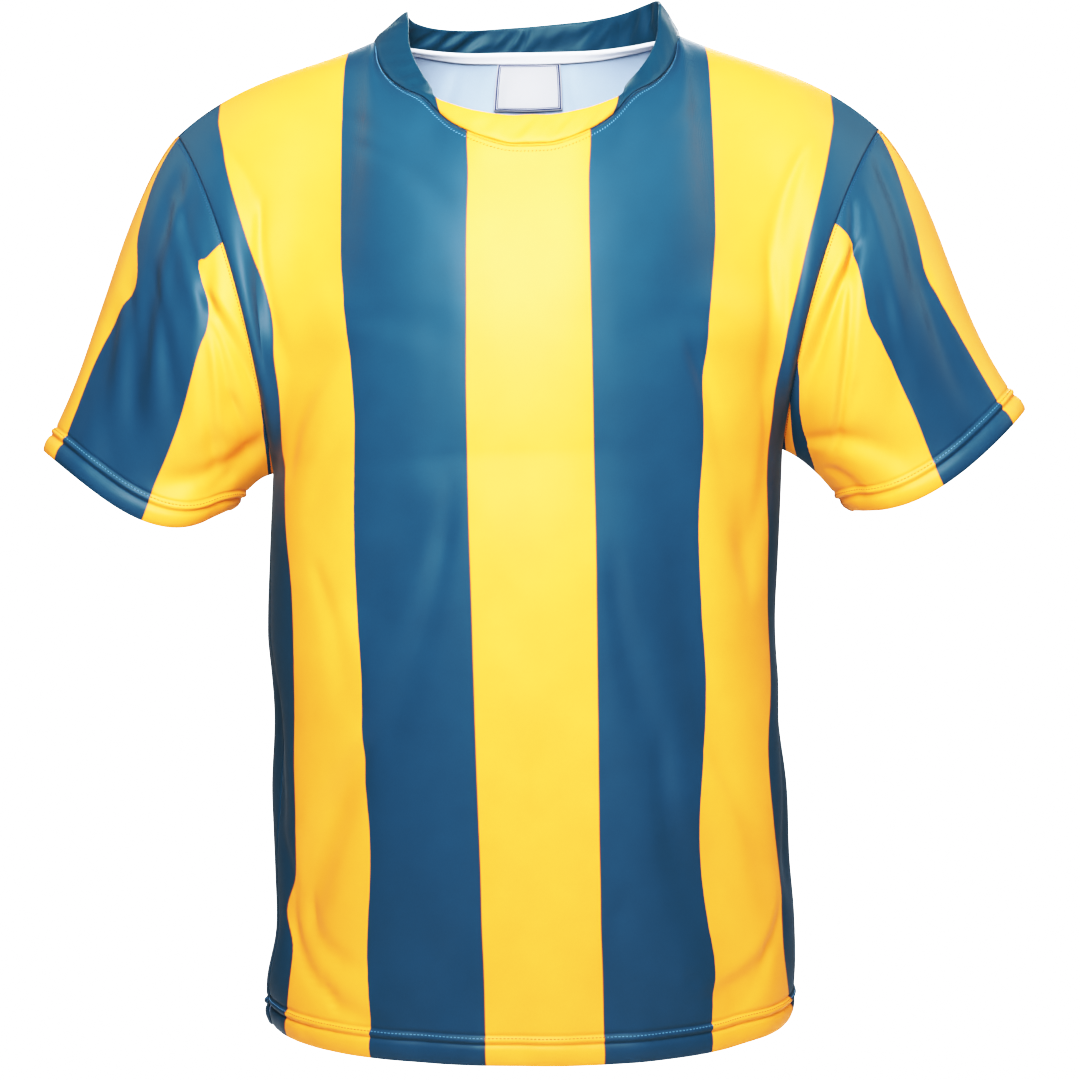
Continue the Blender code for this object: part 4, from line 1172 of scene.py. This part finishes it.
for key, side, folds in (("left", -1, SLEEVE_FOLDS_LEFT), ("right", 1, SLEEVE_FOLDS_RIGHT)):
    form, around = sleeve(side)
    out = normals(form, closed=True) * -side
    columns = len(around)
    share = 1 - np.abs(1 - np.arange(columns) / (columns / 2))
    _, _, rows_down, from_hem = distances(form)
    along = rows_down / rows_down[-1:]
    a = np.repeat((around / (2 * math.pi))[None], len(form), axis=0)
    ring = np.linalg.norm(np.roll(form, -1, axis=1) - form, axis=2).sum(axis=1)[:, None]
    folds_in = sleeve_fold_depth(folds, a, along, ring)
    creases = SLEEVE_CREASES_LEFT if side < 0 else SLEEVE_CREASES_RIGHT
    drawn = crease_depth(creases, form[..., 0], form[..., 2])
    facing = ease(-6 * out[..., 1]) + BACK_SHARE * ease(6 * out[..., 1])
    folds_in = folds_in * FOLD_SHARE * ease(rows_down / 0.02) + drawn * facing * ease(rows_down / 0.006)
    folds_in *= ease(from_hem / 0.03 + 0.25)
    waves = RIPPLE * ripples(a * SLEEVE_GIRTH, rows_down, 23.0 + side) * ease(rows_down / 0.02)
    dip = SEAM_DIP * near(rows_down, 0, SEAM_REACH)
    dip += 0.4 * STITCH_DIP * near(rows_down, SEAM_ROW, STITCH_REACH)
    lift = LAY - folds_in + waves - dip + hem_relief(from_hem, CUFF_ROWS, a * CUFF_GIRTH)
    outer = form + out * lift[..., None]
    from_tip = np.where(around <= math.pi, 1 - share, share - 1)
    stripes = SLEEVE_STRIPES_LEFT if side < 0 else SLEEVE_STRIPES_RIGHT
    place = place_in_print(np.repeat(from_tip[None], len(form), axis=0), along, stripes)
    places = np.stack([place, -rows_down], axis=-1)
    inner = outer - out * CLOTH
    knits = (STRIPED_KNIT, KNIT_INSIDE)
    name = "sleeve_" + key + "_cloth"
    piece = shell(name, outer, inner, places, places, knits, closed=True, flip=side > 0)
    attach(piece, "root")
    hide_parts("sleeve_" + key)
    around_again = [np.concatenate([grid, grid[:, :1]], axis=1) for grid in (outer, out, places)]
    down_again = [grid[::-1] for grid in around_again]
    cuff_rows = [row_across(*down_again, CUFF_ROWS[0], STITCH_SINK), row_across(*down_again, CUFF_ROWS[1])]
    seam_row = row_across(*around_again, SEAM_ROW)
    seam_stitches = stitched("armhole_" + key + "_stitching", [seam_row], SEAM_THREAD)
    cuff_stitches = stitched("cuff_" + key + "_stitching", cuff_rows, THREAD)

# Neckband: a ring of the same knit folded double, navy with a yellow front, sewn to the neck seam. It
# wrinkles a little in front, and more on the inside at the back.

BAND_WALL = 0.0024           # both layers and what lies between them
BAND_CLOTH = 0.0007
BAND_TUCK = 0.0010           # how far its lower edge lies in at the seam
BAND_TUCK_REACH = 0.0022
BAND_PILLOW = 0.0007
BAND_FRONT_COLUMNS = 260
BAND_BACK_COLUMNS = 220
BAND_BORDER_LEFT = -0.0622   # where the yellow front ends, across the shirt
BAND_BORDER_RIGHT = 0.0551
BAND_FOLD_AT = 0.955         # where the fold starts, as a share of the band's height
BAND_STEPS_OUT = 14
BAND_STEPS_FOLD = 6
BAND_STEPS_IN = 12
WRINKLE_FRONT = 0.0012
WRINKLE_BACK = 0.0036
WRINKLE_LENGTH = 0.0125
WRINKLE_HEIGHT = 0.030
WRINKLE_SLANT = 0.75

front_seam, front_fold = neck_loop(False, np.linspace(-1, 1, BAND_FRONT_COLUMNS + 1))
back_seam, back_fold = neck_loop(True, np.linspace(-1, 1, BAND_BACK_COLUMNS + 1))
seam = np.concatenate([front_seam, back_seam[::-1][1:-1]])
fold = np.concatenate([front_fold, back_fold[::-1][1:-1]])
run = length_along(np.concatenate([seam, seam[:1]]))
centre_front = run[BAND_FRONT_COLUMNS // 2]
ring_place = (run[:-1] - centre_front + run[-1] / 2) % run[-1] - run[-1] / 2
border_left = np.interp(BAND_BORDER_LEFT, front_seam[:, 0], ring_place[: BAND_FRONT_COLUMNS + 1])
border_right = np.interp(BAND_BORDER_RIGHT, front_seam[:, 0], ring_place[: BAND_FRONT_COLUMNS + 1])
band_rise = fold - seam
band_form = seam[None] + band_rise[None] * np.linspace(0, 1, 5)[:, None, None]
band_out = normals(band_form, closed=True)[2]
height = np.linalg.norm(band_rise, axis=1)
is_back = np.concatenate([np.zeros(BAND_FRONT_COLUMNS + 1, bool), np.ones(BAND_BACK_COLUMNS - 1, bool)])
front_share = near(ring_place, 0, 0.055)


def band_wrinkles(place, up, seed):
    """Slanting wrinkles along the band."""
    bent = place - WRINKLE_SLANT * up + 0.004 * np.sin(place / 0.019)
    at = np.stack([bent / WRINKLE_LENGTH, up / WRINKLE_HEIGHT, np.full_like(place, seed)], axis=-1)
    found = np.array([noise.noise(Vector(p)) for p in at.reshape(-1, 3).tolist()]).reshape(place.shape)
    return np.sign(found) * np.abs(found) ** 0.8


rows = []
offsets = []
ups = []
for step in range(BAND_STEPS_OUT):
    up = step / BAND_STEPS_OUT * BAND_FOLD_AT
    rows.append(up)
    offsets.append(BAND_WALL + BAND_PILLOW * math.sin(math.pi * up))
    ups.append(up)
for step in range(BAND_STEPS_FOLD + 1):
    turn = math.pi * step / BAND_STEPS_FOLD
    rows.append(BAND_FOLD_AT + 0.045 * math.sin(turn))
    offsets.append(BAND_WALL / 2 + BAND_WALL / 2 * math.cos(turn))
    ups.append(BAND_FOLD_AT + 0.09 * step / BAND_STEPS_FOLD)
for step in range(1, BAND_STEPS_IN + 1):
    up = BAND_FOLD_AT * (1 - step / BAND_STEPS_IN)
    rows.append(up)
    offsets.append(-0.6 * BAND_PILLOW * math.sin(math.pi * up))
    ups.append(1.045 + BAND_FOLD_AT * step / BAND_STEPS_IN)
rows = np.array(rows)[:, None]
offsets = np.array(offsets)[:, None]
ups = np.array(ups)[:, None]
place_grid = np.repeat(ring_place[None], len(rows), axis=0)
up_grid = ups * height[None]
free = np.sin(math.pi * np.clip(rows, 0, 1)) ** 0.7
outer_side = (np.arange(len(rows)) <= BAND_STEPS_OUT + BAND_STEPS_FOLD // 2)[:, None]
wrinkle = band_wrinkles(place_grid, up_grid, 5.0)
outer_wrinkle = WRINKLE_FRONT * (0.5 + front_share)
inner_wrinkle = WRINKLE_BACK * (0.25 + 0.75 * is_back)
rough_share = np.where(outer_side, outer_wrinkle, inner_wrinkle)
dip = np.where(outer_side, BAND_TUCK * near(rows * height, 0, BAND_TUCK_REACH), 0)
band_surface = (
    seam[None]
    + band_rise[None] * rows[..., None]
    + band_out[None] * (offsets + wrinkle * rough_share * free - dip)[..., None]
)
border = np.where(ring_place < 0, -border_left, border_right)
printed = np.clip(np.abs(ring_place) / border, 0, 1.9) * PRINTED[3]
band_places = np.stack([np.repeat(printed[None], len(rows), axis=0), up_grid], axis=-1)
band_cloth = np.stack([place_grid, up_grid], axis=-1)

BAND_NAVY = (0.0100, 0.047, 0.074, 1)
BAND_KNIT = printed_knit("neckband_knit", YELLOW, BAND_NAVY, bump=0.12)
band_underside = band_surface - normals(band_surface, closed=True) * BAND_CLOTH
band_knits = (BAND_KNIT, BAND_KNIT)
band = shell("neckband", band_surface, band_underside, band_places, band_cloth, band_knits, closed=True)
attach(band, "root")
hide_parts("collar")

# Neck tape and label: a white knitted tape laid over the inside of the back neck seam and stitched along its
# lower edge, and a woven label with narrow navy borders, sewn under it.

TAPE_TOP = -0.0022           # it covers the seam itself
TAPE_WIDTH = 0.0105
TAPE_THICK = 0.0009
TAPE_LIFT = 0.0009
TAPE_END = 0.004             # it stops short of the shoulder seams
LABEL_WIDTH = 0.044
LABEL_HEIGHT = 0.036
LABEL_X = -0.0025
LABEL_THICK = 0.0004
LABEL_UNDER = 0.001          # its top is caught under the tape
LABEL_HANG = 0.0022          # how far its lower edge stands off the back
LABEL_BOW = 0.0008
LABEL_BORDER = 0.0013        # the outer line's place inside the edge
LABEL_SECOND = 0.0025        # the inner line's
LABEL_LINE = 0.0009
LABEL_WALE = 0.0007
LABEL_COURSE = 0.0004
TAPE_WHITE = (0.66, 0.69, 0.76, 1)
LABEL_WHITE = (0.38, 0.395, 0.44, 1)
LABEL_NAVY = (0.018, 0.030, 0.09, 1)

back_inner = panels["back"]["cloth"] - panels["back"]["out"] * CLOTH
back_normal = panels["back"]["out"]


def inside_back(x, down, lift):
    """A point on the inside of the back, at a place across and a distance down from the neck seam."""
    top = back_inner[-1, :, 0]
    at = np.interp(x, top, np.arange(len(top)))
    low = int(min(math.floor(at), len(top) - 2))
    share = at - low
    line = back_inner[::-1, low] * (1 - share) + back_inner[::-1, low + 1] * share
    normal = back_normal[::-1, low] * (1 - share) + back_normal[::-1, low + 1] * share
    run = length_along(line[:60])
    point = np.array([np.interp(down, run, line[:60, k]) for k in range(3)])
    if down < 0:
        rise = np.array([np.interp(x, back_seam[:, 0], (back_fold - back_seam)[:, k]) for k in range(3)])
        point = point - unit(rise) * down
    facing = unit(np.array([np.interp(down + 0.003, run, normal[:60, k]) for k in range(3)]))
    return point - facing * lift


tape_x = np.linspace(back_seam[0, 0] + TAPE_END, back_seam[-1, 0] - TAPE_END, 141)
tape_down = np.linspace(TAPE_TOP + TAPE_WIDTH, TAPE_TOP, 9)
tape_outer = []
tape_inner = []
for down in tape_down:
    across = (down - TAPE_TOP) / TAPE_WIDTH
    crown = 0.0004 * math.sin(math.pi * across) - 0.0003 * math.exp(-(((across - 0.84) / 0.08) ** 2))
    lift = TAPE_LIFT + TAPE_THICK + crown
    tape_inner.append([inside_back(x, down + 0.0003 * math.sin(x / 0.011), lift) for x in tape_x])
    tape_outer.append([inside_back(x, down, TAPE_LIFT) for x in tape_x])
tape_inner = np.array(tape_inner)
tape_outer = np.array(tape_outer)
tape_places = np.stack(np.meshgrid(tape_x, tape_down), axis=-1)
TAPE_KNIT = plain_knit("white_tape", TAPE_WHITE, roughness=0.8, bump=0.3)
tape_knits = (TAPE_KNIT, TAPE_KNIT)
tape = shell("tape", tape_inner, tape_outer, tape_places, tape_places, tape_knits, flip=True)
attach(tape, "root")
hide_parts("neck_tape")


def woven_label():
    """White satin weave with two navy lines a little inside each edge."""
    material, tree, look = new_material("woven_label")
    place = node(tree, "ShaderNodeUVMap", uv_map="cloth").outputs["UV"]
    parts = node(tree, "ShaderNodeSeparateXYZ", {0: place}).outputs
    from_side = calc(tree, "SUBTRACT", LABEL_WIDTH / 2, calc(tree, "ABSOLUTE", parts["X"]))
    from_end = calc(tree, "MINIMUM", parts["Y"], calc(tree, "SUBTRACT", LABEL_HEIGHT, parts["Y"]))
    inset = calc(tree, "MINIMUM", from_side, from_end)
    lines = []
    for line_place, half in ((LABEL_BORDER, LABEL_LINE / 2), (LABEL_SECOND, LABEL_LINE / 4)):
        off = calc(tree, "ABSOLUTE", calc(tree, "SUBTRACT", inset, line_place))
        lines.append(calc(tree, "LESS_THAN", off, half))
    colour = mixed(tree, calc(tree, "MAXIMUM", *lines), LABEL_WHITE, LABEL_NAVY)
    weave = {"Wale width": LABEL_WALE, "Course height": LABEL_COURSE, "Across and up": place}
    height = node(tree, "ShaderNodeGroup", weave, node_tree=KNIT).outputs["Height"]
    relief = node(tree, "ShaderNodeBump", {"Strength": 0.2, "Distance": 0.0002, "Height": height})
    feed(tree, look, {"Base Color": colour, "Normal": relief.outputs["Normal"], "Roughness": 0.42})
    return material


label_x = np.linspace(-LABEL_WIDTH / 2, LABEL_WIDTH / 2, 25)
label_down = np.linspace(LABEL_HEIGHT, 0, 21)
label_face = []
label_back = []
top = TAPE_TOP + TAPE_WIDTH - LABEL_UNDER
for down in label_down:
    free_edge = ease(down / LABEL_HEIGHT)
    lift = TAPE_LIFT + 0.0003 + LABEL_HANG * free_edge
    bend = [lift + LABEL_BOW * math.cos(x / LABEL_WIDTH * 2 * math.pi) * free_edge for x in label_x]
    label_face.append([inside_back(LABEL_X + x, top + down, b + LABEL_THICK) for x, b in zip(label_x, bend)])
    label_back.append([inside_back(LABEL_X + x, top + down, b) for x, b in zip(label_x, bend)])
label_face = np.array(label_face)
label_back = np.array(label_back)
label_places = np.stack(np.meshgrid(label_x, label_down), axis=-1)
LABEL_CLOTH = woven_label()
label_cloths = (LABEL_CLOTH, LABEL_CLOTH)
label = shell("neck_label", label_face, label_back, label_places, label_places, label_cloths, flip=True)
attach(label, "root")
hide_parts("label")
